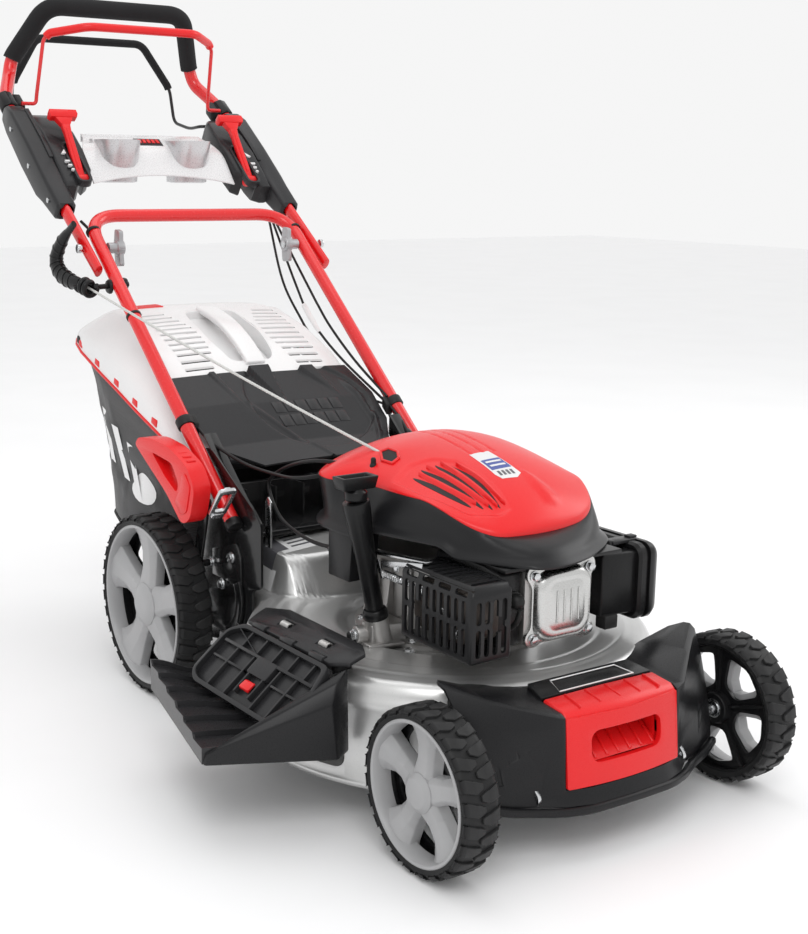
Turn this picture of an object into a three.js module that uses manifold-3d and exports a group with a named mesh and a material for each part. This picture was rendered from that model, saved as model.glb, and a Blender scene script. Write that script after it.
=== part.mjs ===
// A petrol walk-behind lawn mower: pressed steel deck, four wheels on a central height
// adjuster, overhead-valve engine, folding tube handle, rear grass catcher, side chute.
//
// Millimetres, +Z up. While the parts are made, x = 0 is the middle plane, y = 0 the front
// wheel centres, z = 0 the ground; -Y is the front and -X the operator's right. The finished
// group is moved so that its origin is the middle of its bounding box's base.
import * as THREE from "three";
import { ConvexGeometry } from "three/addons/geometries/ConvexGeometry.js";
import { mergeVertices } from "three/addons/utils/BufferGeometryUtils.js";
import Module from "manifold-3d";

// ---------------------------------------------------------------- driving dimensions
const GAP = 0.4; // between parts that touch
const ORIGIN = [-79.5, 687.5, 0];

const FRONT_WHEEL = { radius: 101.5, width: 51.5, outer: 276, rim: 86, y: 0, z: 101.5 };
const REAR_WHEEL = { radius: 140, width: 56.5, outer: 275, rim: 122, y: 717, z: 140 };
const AXLE_ARM = { back: 36, up: 29.5 }; // from an axle's pivot to its wheel centres
const STUB_RADIUS = 6.5;

const DECK = { y: 296, radius: 285, bottom: 45, step: 164, shoulder: 187, top: 176, wall: 4 };
const TUNNEL = { half: 172, rear: 638, floor: 166, roof: 266 };

const CRANK_Y = DECK.y;
const BLADE = { z: 58, length: 526, width: 54, thickness: 4 };
const BELT = { low: 153, high: 161, engineRadius: 30, boxRadius: 24, boxX: -30, boxY: 626 };

const HANDLE = { angle: 40.46, half: 197, radius: 11, startY: 554, crossY: 1060 };
const FOLD = { y: 575, z: 308.5 }; // lower handle on its deck bracket
const UPPER = { half: 221, radius: 12, pivotY: 1000, pivotZ: 671 };
const FLAP_HINGE = { y: 655, z: 376 };

// ---------------------------------------------------------------- colours
const RED = 0xd81e1e;
const BLACK = 0x17181a;
const GRAPHITE = 0x3c3d3f;
const WHITE = 0xe9eaea;
const SILVER = 0xb5b6b4;
const ALUMINIUM = 0x9b9c99;
const RUBBER = 0x222223;
const STEEL = 0xc4c6c8;

const painted = (color) => ({ color, roughness: 0.3, metalness: 0.1 });
const moulded = (color) => ({ color, roughness: 0.55, metalness: 0 });
const metal = (color) => ({ color, roughness: 0.35, metalness: 0.9 });

// ---------------------------------------------------------------- solids
const wasm = await Module();
wasm.setup();

const mower = new THREE.Group();
mower.position.set(-ORIGIN[0], -ORIGIN[1], -ORIGIN[2]);

function solidOf(geometry) {
  const bare = geometry.index ? geometry.toNonIndexed() : geometry.clone();
  bare.deleteAttribute("normal");
  bare.deleteAttribute("uv");
  const merged = mergeVertices(bare, 1e-3);
  const vertProperties = merged.attributes.position.array;
  const triVerts = new Uint32Array(merged.index.array);
  const made = new wasm.Manifold(new wasm.Mesh({ numProp: 3, vertProperties, triVerts }));
  if (made.volume() > 0) return made;
  triVerts.reverse();
  return new wasm.Manifold(new wasm.Mesh({ numProp: 3, vertProperties, triVerts }));
}

function geometryOf(solid) {
  const mesh = solid.getMesh();
  const geometry = new THREE.BufferGeometry();
  geometry.setAttribute("position", new THREE.BufferAttribute(mesh.vertProperties, mesh.numProp));
  geometry.setIndex(new THREE.BufferAttribute(mesh.triVerts, 1));
  return geometry;
}

const asSolid = (shape) => (shape.isBufferGeometry ? solidOf(shape) : shape);
const join = (...shapes) => shapes.map(asSolid).reduce((a, b) => a.add(b));
const carve = (base, ...tools) =>
  tools.map(asSolid).reduce((a, b) => a.subtract(b), asSolid(base));

function addPart(name, shape, look) {
  const geometry = geometryOf(asSolid(shape)).toNonIndexed();
  geometry.computeVertexNormals();
  const mesh = new THREE.Mesh(geometry, new THREE.MeshStandardMaterial(look));
  mesh.name = name;
  mower.add(mesh);
}

// ---------------------------------------------------------------- simple shapes
const box = (x0, x1, y0, y1, z0, z1) =>
  new THREE.BoxGeometry(x1 - x0, y1 - y0, z1 - z0).translate(
    (x0 + x1) / 2,
    (y0 + y1) / 2,
    (z0 + z1) / 2,
  );

const hull = (points) => new ConvexGeometry(points.map((p) => new THREE.Vector3(...p)));

function outline(points, holes = []) {
  const shape = new THREE.Shape(points.map((p) => new THREE.Vector2(...p)));
  shape.holes = holes.map((hole) => new THREE.Path(hole.map((p) => new THREE.Vector2(...p))));
  return shape;
}

const slab = (shape, depth) =>
  new THREE.ExtrudeGeometry(shape, { depth, bevelEnabled: false, curveSegments: 8 });

// Outlines are (y, z) for plateX, (x, z) for plateY and (x, y) for plateZ.
const AXES_X = new THREE.Matrix4().set(0, 0, 1, 0, 1, 0, 0, 0, 0, 1, 0, 0, 0, 0, 0, 1);
const AXES_Y = new THREE.Matrix4().set(1, 0, 0, 0, 0, 0, -1, 0, 0, 1, 0, 0, 0, 0, 0, 1);
const plateX = (points, x0, x1, holes) =>
  slab(outline(points, holes), x1 - x0).applyMatrix4(AXES_X).translate(x0, 0, 0);
const plateY = (points, y0, y1, holes) =>
  slab(outline(points, holes), y1 - y0).applyMatrix4(AXES_Y).translate(0, y1, 0);
const plateZ = (points, z0, z1, holes) => slab(outline(points, holes), z1 - z0).translate(0, 0, z0);

function circle(u, v, radius, sides = 16) {
  const points = [];
  for (let i = 0; i < sides; i++) {
    const a = (2 * Math.PI * i) / sides;
    points.push([u + radius * Math.cos(a), v + radius * Math.sin(a)]);
  }
  return points;
}

const ringAt = (x, y, z, radius, sides = 20) =>
  circle(x, y, radius, sides).map(([u, v]) => [u, v, z]);

const rod = (from, to, radius, sides = 12) => {
  const a = new THREE.Vector3(...from);
  const b = new THREE.Vector3(...to);
  const direction = b.clone().sub(a);
  const turn = new THREE.Quaternion().setFromUnitVectors(
    new THREE.Vector3(0, 1, 0),
    direction.clone().normalize(),
  );
  return new THREE.CylinderGeometry(radius, radius, direction.length(), sides)
    .applyQuaternion(turn)
    .translate(...a.add(b).multiplyScalar(0.5).toArray());
};

// Profiles are (radius, height); the height runs along +Z or +X.
const turned = (profile, segments) =>
  new THREE.LatheGeometry(
    profile.map((p) => new THREE.Vector2(...p)),
    segments,
  );
const turnedZ = (profile, x, y, segments = 32) =>
  turned(profile, segments)
    .rotateX(Math.PI / 2)
    .translate(x, y, 0);
const turnedX = (profile, y, z, segments = 32) =>
  turned(profile, segments)
    .rotateZ(-Math.PI / 2)
    .translate(0, y, z);

// The plate around two round ends, as an outline.
function link(a, b, ra, rb, sides = 14) {
  const points = [...circle(...a, ra, sides), ...circle(...b, rb, sides)];
  return hull2(points);
}

function hull2(points) {
  const sorted = [...points].sort((p, q) => p[0] - q[0] || p[1] - q[1]);
  const cross = (o, a, b) => (a[0] - o[0]) * (b[1] - o[1]) - (a[1] - o[1]) * (b[0] - o[0]);
  const half = (list) => {
    const kept = [];
    for (const p of list) {
      while (kept.length > 1 && cross(kept[kept.length - 2], kept[kept.length - 1], p) <= 1e-6)
        kept.pop();
      kept.push(p);
    }
    kept.pop();
    return kept;
  };
  return [...half(sorted), ...half(sorted.reverse())];
}

// A path through corners, with a round bend of the given radius at each inner corner.
class BentPath extends THREE.Curve {
  constructor(corners, bend, steps) {
    super();
    const at = corners.map((c) => new THREE.Vector3(...c));
    this.points = [at[0]];
    for (let i = 1; i < at.length - 1; i++) {
      const into = at[i - 1].clone().sub(at[i]);
      const away = at[i + 1].clone().sub(at[i]);
      const room = Math.min(bend, into.length() * 0.45, away.length() * 0.45);
      const start = at[i].clone().add(into.setLength(room));
      const end = at[i].clone().add(away.setLength(room));
      const arc = new THREE.QuadraticBezierCurve3(start, at[i], end);
      this.points.push(...arc.getPoints(steps));
    }
    this.points.push(at[at.length - 1]);
  }
  getPointAt(u) {
    return this.points[Math.round(u * (this.points.length - 1))].clone();
  }
  getTangentAt(u) {
    const i = Math.round(u * (this.points.length - 1));
    const before = this.points[Math.max(i - 1, 0)];
    const after = this.points[Math.min(i + 1, this.points.length - 1)];
    return after.clone().sub(before).normalize();
  }
}

function tube(corners, radius, { bend = 40, steps = 4, sides = 10, bore = 0, trim = 0 } = {}) {
  const path = new BentPath(corners, bend, steps);
  path.points = path.points.slice(trim, path.points.length - trim);
  const holes = bore ? [circle(0, 0, bore, sides)] : [];
  return new THREE.ExtrudeGeometry(outline(circle(0, 0, radius, sides), holes), {
    steps: path.points.length - 1,
    extrudePath: path,
  });
}

const mirrorX = (points) => points.map(([x, y, z]) => [-x, y, z]).reverse();
const loop = (half) => [...half, ...mirrorX(half)];
const flipX = (geometry) => geometry.clone().scale(-1, 1, 1);

// A point on the lower handle's tube line, by its distance back from the front wheels.
const handleZ = (y) => FOLD.z + (y - FOLD.y) * Math.tan(HANDLE.angle * THREE.MathUtils.DEG2RAD);

// ---------------------------------------------------------------- wheels and height adjuster
function addWheel(prefix, side, wheel) {
  const inner = wheel.outer - wheel.width;
  const outer = wheel.outer;
  const chamfer = 6;
  const tread = [
    [wheel.rim + GAP, inner + 4],
    [wheel.radius - chamfer, inner],
    [wheel.radius, inner + chamfer],
    [wheel.radius, outer - chamfer],
    [wheel.radius - chamfer, outer],
    [wheel.rim + GAP, outer - 3],
    [wheel.rim + GAP, inner + 4],
  ];
  const hub = wheel.radius * 0.23;
  const band = 6;
  const web = [outer - 18, outer - 8];
  const disc = [
    [0, outer - 2],
    [hub, outer - 2],
    [hub, web[1]],
    [wheel.rim - band, web[1]],
    [wheel.rim - band, outer - 3],
    [wheel.rim, outer - 3],
    [wheel.rim, inner + 4],
    [wheel.rim - band, inner + 4],
    [wheel.rim - band, web[0]],
    [hub, web[0]],
    [hub, inner],
    [STUB_RADIUS + 0.7, inner],
    [STUB_RADIUS + 0.7, outer - 10],
    [0, outer - 10],
  ];
  const windows = [];
  for (let i = 0; i < 5; i++) {
    const middle = (2 * Math.PI * (i + 0.5)) / 5 + Math.PI / 2;
    const corner = (r, a) => [wheel.y + r * Math.cos(a), wheel.z + r * Math.sin(a)];
    const far = wheel.rim - band - 3;
    const near = hub + 7;
    windows.push(
      plateX(
        [
          corner(near, middle - 0.2),
          corner(far, middle - 0.4),
          corner(far + 1, middle),
          corner(far, middle + 0.4),
          corner(near, middle + 0.2),
        ],
        web[0] - 1,
        web[1] + 1,
      ),
    );
  }
  const place = side < 0 ? flipX : (g) => g;
  addPart(prefix + "_tyre", place(turnedX(tread, wheel.y, wheel.z, 32)), moulded(RUBBER));
  addPart(
    prefix + "_rim",
    carve(solidOf(place(turnedX(disc, wheel.y, wheel.z, 32))), ...windows.map(place)),
    moulded(ALUMINIUM),
  );
}

// A cross tube on its pivot line, with an arm and a wheel stub at each end.
function axle(wheel, tubeRadius, armAt) {
  const pivot = [wheel.y - AXLE_ARM.back, wheel.z - AXLE_ARM.up];
  const hub = [wheel.y, wheel.z];
  const thick = 5;
  const stubEnd = wheel.outer - 12;
  const pieces = [rod([-armAt, ...pivot], [armAt, ...pivot], tubeRadius, 16)];
  for (const side of [-1, 1]) {
    const [x0, x1] = side > 0 ? [armAt, armAt + thick] : [-armAt - thick, -armAt];
    pieces.push(plateX(link(pivot, hub, 12, 12), x0, x1));
    pieces.push(rod([side * armAt, ...hub], [side * stubEnd, ...hub], STUB_RADIUS, 16));
  }
  return join(...pieces);
}

function addHeightAdjuster() {
  addPart("front_axle", axle(FRONT_WHEEL, 8, 120), metal(STEEL));
  addPart("rear_axle", axle(REAR_WHEEL, 9, 204), metal(STEEL));
}

// The lever beside the right rear wheel, with its D-shaped hand grip.
function addHeightLever() {
  const pivot = [640, 215];
  const arm = plateX(link(pivot, [612, 312], 11, 10), -216, -211.4);
  const pin = rod([-213, ...pivot], [-184.6, ...pivot], 5, 12);
  const shank = box(-236, -211.4, 598, 624, 303, 322);
  const grip = plateX(
    [
      [757, 386],
      [745, 398],
      [700, 404],
      [640, 399],
      [585, 380],
      [562, 350],
      [578, 302],
      [604, 290],
      [652, 328],
      [722, 366],
    ],
    -258,
    -230,
    [
      [
        [700, 383],
        [634, 377],
        [612, 350],
        [618, 335],
        [655, 352],
      ],
    ],
  );
  addPart("height_lever", join(arm, pin, shank, grip), moulded(RED));
}

// ---------------------------------------------------------------- deck and chassis
function addDeck() {
  const { y, radius, bottom, step, shoulder, top, wall } = DECK;
  const skin = [
    [radius, bottom],
    [radius + 1, step],
    [radius - 8, shoulder],
    [205, shoulder + 2],
    [150, top],
    [0, top],
  ];
  const inside = [
    [radius - wall, bottom - 5],
    [radius + 1 - wall, step - wall],
    [radius - 8 - wall, shoulder - wall],
    [205, shoulder + 2 - wall],
    [150, top - wall],
    [0, top - wall],
  ];
  const closed = (profile) => [[0, profile[0][1]], ...profile];
  const { half, rear, floor, roof } = TUNNEL;
  const tunnel = (w, back) =>
    hull([
      ...[-1, 1].flatMap((s) => [
        [s * (half - w), back, floor + w],
        [s * (half - w), back, roof - 22 - w],
        [s * (half - 25 - w), back, roof - w],
        [s * (half - 15 - w), 470, floor + w],
        [s * (half - 15 - w), 470, 205],
        [s * (half - 50 - w), 432, 236 - w],
      ]),
    ]);
  const outer = join(turnedZ(closed(skin), 0, y, 40), tunnel(0, rear));
  const sideMouth = box(-300, -230, 160, 425, 62, 160);
  const beltSlot = box(-70, 12, 560, 600, 146, 170);
  const crankHole = rod([0, CRANK_Y, 160], [0, CRANK_Y, 190], 22, 20);
  addPart(
    "deck",
    carve(
      outer,
      turnedZ(closed(inside), 0, y, 40),
      tunnel(wall, rear + 20),
      sideMouth,
      beltSlot,
      crankHole,
    ),
    metal(SILVER),
  );
}

// Hollow nose that covers the front axle, with a pocket for the carry grip.
function addBumper() {
  const nose = (w) => [
    ...[-1, 1].flatMap((s) => [
      [s * (110 - w), -53 + w, 176 - w],
      [s * (116 - w), -40 + w, 72],
      [s * (122 - w), -62 + w, 62],
      [s * (202 - w), 26, 214 - w],
      [s * (202 - w), 42, 214 - w],
      [s * (202 - w), -8 + w, 150],
      [s * (198 - w), -20 + w, 74],
      [s * (198 - w), 42, 74],
    ]),
    [-60, -74 + w, 64],
    [60, -74 + w, 64],
  ];
  const shell = solidOf(hull(nose(0)));
  const cavity = hull(nose(5).map(([x, y, z]) => [x, y, z < 80 ? 40 : z]));
  const behindDeck = plateZ(circle(0, DECK.y, DECK.radius + 2, 48), 30, 176);
  const deckTop = plateZ(circle(0, DECK.y, DECK.radius - 6, 48), 170, 230);
  const rearOpening = box(-190, 190, 30, 60, 30, 208);
  const gripPocket = box(-94, 94, -80, -4, 84.6, 190);
  const stubRooms = [
    [-230, -158],
    [158, 230],
  ].map(([x0, x1]) => box(x0, x1, -60, 50, 30, 148));
  addPart(
    "front_bumper",
    carve(shell, cavity, behindDeck, deckTop, rearOpening, gripPocket, ...stubRooms),
    moulded(BLACK),
  );
  const grip = hull([
    ...[-1, 1].flatMap((s) => [
      [s * 92, -58, 85.5],
      [s * 92, -49, 173],
      [s * 84, -10, 178],
      [s * 84, -22, 160],
      [s * 90, -50, 85.5],
    ]),
  ]);
  const slot = box(-58, 58, -80, 0, 118, 152);
  addPart("carry_grip", carve(solidOf(grip), slot), painted(RED));
}

// Black steel side plates joined by a cross panel; they carry the rear axle, handle and flap.
function addRearFrame() {
  const plate = [
    [526, 112],
    [664, 88],
    [702, 88],
    [706, 160],
    [688, 215],
    [684, 330],
    [668, 388],
    [645, 388],
    [520, 318],
    [500, 300],
    [500, 205],
    [526, 196],
  ];
  const pivot = [REAR_WHEEL.y - AXLE_ARM.back, REAR_WHEEL.z - AXLE_ARM.up];
  const axleHole = circle(...pivot, 9.7, 16);
  const sides = [
    [-184, -180],
    [180, 184],
  ].map(([x0, x1]) => plateX(plate, x0, x1, [axleHole]));
  const panel = box(-181, 181, 640, 643, 273, 328);
  const rib = box(-181, 181, 628, 641, 300, 306);
  addPart("rear_frame", join(...sides, panel, rib), painted(BLACK));
}

// Side discharge deflector: a bent roof that narrows towards the rear, between two cheeks.
const CHUTE = {
  front: [[-289, 150, 176], [-356, 172, 127], [-445, 197, 126]],
  rear: [[-289, 440, 176], [-345, 456, 131], [-378, 480, 150]],
  bottom: 107,
  wall: 3,
};
function addSideChute() {
  const { front, rear, bottom, wall } = CHUTE;
  const lowered = ([x, y, z]) => [x, y, z - wall];
  const inward = (points, step) => points.map(([x, y, z]) => [x, y + step, z]);
  const grounded = ([x, y]) => [x, y, bottom];
  const pieces = [];
  for (const i of [0, 1]) {
    const bay = [front[i], front[i + 1], rear[i], rear[i + 1]];
    pieces.push(hull([...bay, ...bay.map(lowered)]));
    for (const [edge, step] of [
      [front, wall],
      [rear, -wall],
    ]) {
      const pair = [edge[i], edge[i + 1]];
      const cheek = [...pair, ...pair.map(grounded)];
      pieces.push(hull([...cheek, ...inward(cheek, step)]));
    }
  }
  addPart("side_chute", join(...pieces), moulded(GRAPHITE));
}

// Spring-loaded flap over the side mouth, resting on the chute, with its release button.
const SIDE_FLAP = { x: -276, z: 207, front: 151, rear: 391, length: 104, drop: 40, thick: 6 };
function addSideFlap() {
  const { x, z, front, rear, length, drop, thick } = SIDE_FLAP;
  const turn = (g) => g.rotateY((-drop * Math.PI) / 180).translate(x, 0, z);
  const plate = box(-length, 0, front, rear, -thick, 0);
  const barrel = rod([0, front + 20, 0], [0, rear - 20, 0], 5, 12);
  const rim = carve(
    solidOf(box(-length, -12, front, rear, -1, 7)),
    box(-length + 6, -18, front + 6, rear - 6, -5, 9),
  );
  const buttonY = (front + rear) / 2;
  const buttonHole = box(-length + 14, -length + 36, buttonY - 16, buttonY + 6, -10, 12);
  const flat = carve(join(plate, barrel, geometryOf(rim)), buttonHole);
  addPart("side_flap", turn(geometryOf(flat)), moulded(GRAPHITE));
  const button = box(-length + 15, -length + 29, buttonY - 15, buttonY + 5, -5, 8);
  addPart("flap_latch", turn(button), painted(RED));
}

// ---------------------------------------------------------------- engine
function addEngineBlock() {
  const sump = [
    [114, 176 + GAP],
    [120, 184],
    [106, 190],
    [102, 286],
    [60, 300],
    [14.5, 300],
    [14.5, 292],
    [58, 292],
    [95, 280],
    [98, 192],
    [98, 176 + GAP],
    [114, 176 + GAP],
  ];
  const boss = rod([-138, 262, 181], [-140, 262, 204], 15, 14);
  const bossWeb = box(-136, -100, 250, 274, 181, 194);
  const fillerBore = rod([-138, 262, 188], [-142.5, 262, 209], 10.6, 14);
  addPart(
    "crankcase",
    carve(join(turnedZ(sump, 0, CRANK_Y, 32), boss, bossWeb), fillerBore),
    metal(ALUMINIUM),
  );
  const core = box(-48, 38, 96, 188, 236, 314);
  const head = box(-62, 50, 60, 98, 222, 324);
  const fins = [];
  for (let y = 108; y < 188; y += 12) fins.push(box(-64, 52, y, y + 3.5, 224, 322));
  const cover = hull([
    ...[-1, 1].flatMap((s) =>
      [-1, 1].flatMap((t) => [
        [-8 + s * 40, 46, 273 + t * 40],
        [-8 + s * 46, 50, 273 + t * 46],
        [-8 + s * 46, 62, 273 + t * 46],
      ]),
    ),
  ]);
  addPart("cylinder_head", join(core, head, ...fins, cover), metal(ALUMINIUM));
}

const ROPE_EXIT = [-96, 312, 426];
const ROPE_GUIDE = [-244, 948, 611];

const SHROUD = { z: 326, rim: 385 };
// Plan of the engine shroud: a round end over the flywheel and a narrower nose.
const shroudPlan = (w, z) => [
  ...ringAt(0, CRANK_Y, z, 157 - w, 24),
  [-92 + w, 62 + w, z],
  [-70 + w, 44 + w, z],
  [50 - w, 44 + w, z],
  [78 - w, 66 + w, z],
];
const scaled = (points, k, z) =>
  points.map(([x, y]) => [x * k, CRANK_Y + (y - CRANK_Y) * k, z]);

function addShrouds() {
  const { z, rim } = SHROUD;
  const housing = (w, low, high) =>
    hull([...shroudPlan(w, low), ...scaled(shroudPlan(w, high), 0.96, high)]);
  addPart(
    "blower_housing",
    carve(solidOf(housing(0, z, rim)), housing(4, z - 8, rim + 8)),
    moulded(GRAPHITE),
  );
  const base = rim + GAP;
  const dome = (w) =>
    hull([
      ...scaled(shroudPlan(w, base), 0.955, base - (w ? 10 : 0)),
      ...ringAt(0, CRANK_Y + 30, 443 - w, 96 - w, 24),
      [-60, 118 + w, 408 - w],
      [48, 118 + w, 408 - w],
    ]);
  const ropeEye = rod(...[-0.06, 0.1].map((t) => between(ROPE_EXIT, ROPE_GUIDE, t)), 7, 12);
  addPart("engine_cover", carve(solidOf(dome(0)), dome(4), ropeEye), painted(RED));
}

function addExhaust() {
  const can = box(-152, -108, 56, 170, 238, 304);
  const pipe = rod([-110, 130, 270], [-65, 130, 270], 12, 14);
  addPart("muffler", join(can, pipe), metal(BLACK));
  const slots = [];
  for (let y = 54; y < 172; y += 20)
    for (const z of [232, 274]) slots.push(box(-170, -155, y, y + 10, z, z + 32));
  for (let x = -150; x < -108; x += 15)
    for (const z of [232, 274]) slots.push(box(x, x + 8, 30, 48, z, z + 32));
  addPart(
    "muffler_guard",
    carve(
      solidOf(box(-163, -100, 40, 184, 222, 318)),
      box(-158, -90, 45, 179, 227, 313),
      ...slots,
    ),
    moulded(BLACK),
  );
}

function addAirAndFuel() {
  const housing = box(104, 162, 98, 222, 218, 306);
  const lid = hull([
    ...[-1, 1].flatMap((s) =>
      [-1, 1].flatMap((t) => [
        [160, 160 + s * 76, 264 + t * 53],
        [188, 160 + s * 76, 264 + t * 53],
        [200, 160 + s * 66, 264 + t * 44],
      ]),
    ),
  ]);
  addPart("air_filter", join(housing, lid), moulded(BLACK));
  const throat = rod([52.6, 140, 268], [103.6, 140, 268], 16, 16);
  const floatBowl = rod([78, 140, 224], [78, 140, 262], 19, 16);
  addPart("carburettor", join(throat, floatBowl), metal(ALUMINIUM));
  const tank = hull([
    [-40, 406, 252],
    [150, 420, 252],
    [-40, 494, 252],
    [150, 494, 252],
    [-40, 470, 322],
    [-40, 494, 316],
    [150, 470, 322],
    [150, 494, 316],
    [150, 420, 300],
    [-40, 420, 300],
  ]);
  const neck = rod([92, 482, 315], [92, 482, 334], 15, 16);
  addPart("fuel_tank", join(tank, neck), moulded(BLACK));
  addPart("fuel_cap", rod([92, 482, 334.4], [92, 482, 350], 21, 18), moulded(BLACK));
}

// The filler leans out from the sump; the dipstick's rod hangs inside it.
const FILLER = { foot: [-139.5, 262, 190], mouth: [-181, 262, 384] };
function addOilFiller() {
  const foot = new THREE.Vector3(...FILLER.foot);
  const axis = new THREE.Vector3(...FILLER.mouth).sub(foot);
  const along = (t) => foot.clone().addScaledVector(axis, t).toArray();
  const neck = carve(
    join(rod(along(0), along(1), 9.4, 14), rod(along(0.9), along(1), 14, 14)),
    rod(along(0.03), along(1.05), 7, 14),
  );
  addPart("oil_filler_tube", neck, moulded(BLACK));
  const mouth = along(1);
  const cap = box(mouth[0] - 28, mouth[0] + 26, 249, 275, mouth[2] + 15, mouth[2] + 34);
  const stem = rod(along(1.01), along(1.12), 9, 12);
  const stick = rod(along(0.12), along(1.1), 2.5, 8);
  addPart("oil_dipstick", join(cap, stem, stick), moulded(BLACK));
}

// A V-belt groove of the given bottom radius, as a ring profile round a hub.
const beltGroove = (radius, hub, z0, z1) => [
  [hub, z0],
  [radius + 5, z0],
  [radius + 5, BELT.low - GAP],
  [radius, BELT.low - GAP],
  [radius, BELT.high + GAP],
  [radius + 5, BELT.high + GAP],
  [radius + 5, z1],
  [hub, z1],
  [hub, z0],
];

// The crankshaft, with the flywheel at its top end.
function addCrankshaft() {
  const journal = 11;
  const shaft = [
    [0, 84],
    [journal, 84],
    [journal, 200],
    [13.5, 200],
    [13.5, 306],
    [10, 306],
    [10, 352],
    [0, 352],
  ];
  addPart("crankshaft", turnedZ(shaft, 0, CRANK_Y, 20), metal(STEEL));
  const wheel = [
    [journal, 312],
    [30, 312],
    [30, 318],
    [94, 318],
    [94, 340],
    [40, 340],
    [40, 346],
    [journal, 346],
    [journal, 312],
  ];
  addPart("flywheel", turnedZ(wheel, 0, CRANK_Y, 28), metal(ALUMINIUM));
}

// The blade clamps under its adapter, which carries the belt pulley.
function addBlade() {
  const { low, high, engineRadius } = BELT;
  const hub = 12;
  const pulley = turnedZ(beltGroove(engineRadius, hub, low - 4, high + 4), 0, CRANK_Y, 24);
  const seat = [
    [hub, 66],
    [34, 66],
    [34, 76],
    [22, 84],
    [22, low - 3],
    [hub, low - 3],
    [hub, 66],
  ];
  addPart("blade_adapter", join(pulley, turnedZ(seat, 0, CRANK_Y, 24)), metal(STEEL));
  const { z, length, width, thickness } = BLADE;
  const half = width / 2;
  const bar = box(-length / 2, length / 2, CRANK_Y - half, CRANK_Y + half, z, z + thickness);
  const wings = [-1, 1].map((s) =>
    hull(
      [150, 255].flatMap((x) => [
        [s * x, CRANK_Y + s * (half - 12), z + 1],
        [s * x, CRANK_Y + s * half, z + 1],
        [s * x, CRANK_Y + s * half, z + thickness],
        [s * x, CRANK_Y + s * (half + 8), z + 22],
        [s * x, CRANK_Y + s * (half + 10), z + 20],
      ]),
    ),
  );
  const sweep = solidOf(rod([0, CRANK_Y, z - 5], [0, CRANK_Y, z + 8], length / 2, 48));
  const bolt = rod([0, CRANK_Y, z - 12], [0, CRANK_Y, z + 25.5], 8, 12);
  addPart("blade", join(join(bar, ...wings).intersect(sweep), bolt), metal(STEEL));
}

function addStarterPulley() {
  const reel = [
    [0, 360],
    [34, 360],
    [34, 364],
    [28, 366],
    [28, 372],
    [34, 374],
    [34, 378],
    [0, 378],
  ];
  addPart("starter_pulley", turnedZ(reel, 0, CRANK_Y, 20), moulded(BLACK));
}

// The belt runs back to a gearbox round the rear axle.
function addRearDrive() {
  const { low, high, engineRadius, boxRadius, boxX, boxY } = BELT;
  const grooved = beltGroove(boxRadius, 0, low - 4, high + 4).slice(1, -2);
  const profile = [[0, low - 4], ...grooved, [0, high + 4]];
  addPart("gearbox_pulley", turnedZ(profile, boxX, boxY, 24), metal(STEEL));
  const axleY = REAR_WHEEL.y - AXLE_ARM.back;
  const axleZ = REAR_WHEEL.z - AXLE_ARM.up;
  const casing = join(
    box(boxX - 30, boxX + 30, 598, 706, 88, low - 4 - GAP),
    box(boxX - 30, boxX + 30, 660, 706, 88, 160),
  );
  const bore = rod([boxX - 40, axleY, axleZ], [boxX + 40, axleY, axleZ], 9.7, 16);
  addPart("gearbox", carve(casing, bore), metal(ALUMINIUM));
  const beltOutline = (extra) =>
    hull2([
      ...circle(0, CRANK_Y, engineRadius + extra, 28),
      ...circle(boxX, boxY, boxRadius + extra, 24),
    ]);
  const loopAround = plateZ(beltOutline(4), low, high, [beltOutline(0.6)]);
  addPart("drive_belt", loopAround, moulded(RUBBER));
}

// ---------------------------------------------------------------- handles and controls
function addLowerHandle() {
  const { half, radius, startY, crossY } = HANDLE;
  const leg = [
    [-half, startY, handleZ(startY)],
    [-half, crossY, handleZ(crossY)],
  ];
  addPart("lower_handle", tube(loop(leg), radius, { bend: 60, steps: 5 }), painted(RED));
}

function addUpperHandle() {
  const leg = [
    [-UPPER.half, 958, 636],
    [-UPPER.half, 1352, 921],
    [-192, 1404, 966],
    [-184, 1409, 997],
    [-138, 1343, 1090],
  ];
  const bends = { bend: 30, steps: 3 };
  addPart("upper_handle", tube(loop(leg), UPPER.radius, bends), painted(RED));
  const bore = UPPER.radius + 0.8;
  const sleeve = tube(loop(leg), 17, { ...bends, bore, sides: 12, trim: 10 });
  addPart("foam_grip", sleeve, moulded(BLACK));
}

const BRAKE_BAIL = { y: 1316, z: 916 };
const DRIVE_BAIL = { y: 1350, z: 884 };
const SLEEVE_RADIUS = 8.5;
function addBails() {
  const brake = [
    [-201, BRAKE_BAIL.y, BRAKE_BAIL.z],
    [-176, BRAKE_BAIL.y, BRAKE_BAIL.z],
    [-172, 1286, 1028],
    [-108, 1234, 1046],
  ];
  const sleeved = [
    [-170, 1283.6, 1029],
    [-108, 1234, 1046],
  ];
  const bends = { bend: 20, steps: 2, sides: 8 };
  const brakeWire = tube(loop(brake), 5, bends);
  const brakeSleeve = tube(loop(sleeved), SLEEVE_RADIUS, bends);
  addPart("engine_bail", join(brakeWire, brakeSleeve), painted(RED));
  const drive = [
    [-201, DRIVE_BAIL.y, DRIVE_BAIL.z],
    [-177, DRIVE_BAIL.y, DRIVE_BAIL.z],
    [-172, 1456, 893],
    [-162, 1457, 962],
    [-118, 1468, 1042],
  ];
  const driveWire = tube(loop(drive), 4, { bend: 24, steps: 2, sides: 8 });
  const driveSleeve = tube(loop(drive.slice(3)), SLEEVE_RADIUS, { bend: 24, steps: 3, sides: 8 });
  addPart("drive_bail", join(driveWire, driveSleeve), moulded(BLACK));
}

// Turns (x, along, above) on the upper tube's slope into place.
const onSlope = (g) => g.rotateX(Math.atan2(285, 394)).translate(0, 1104, 744);

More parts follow.
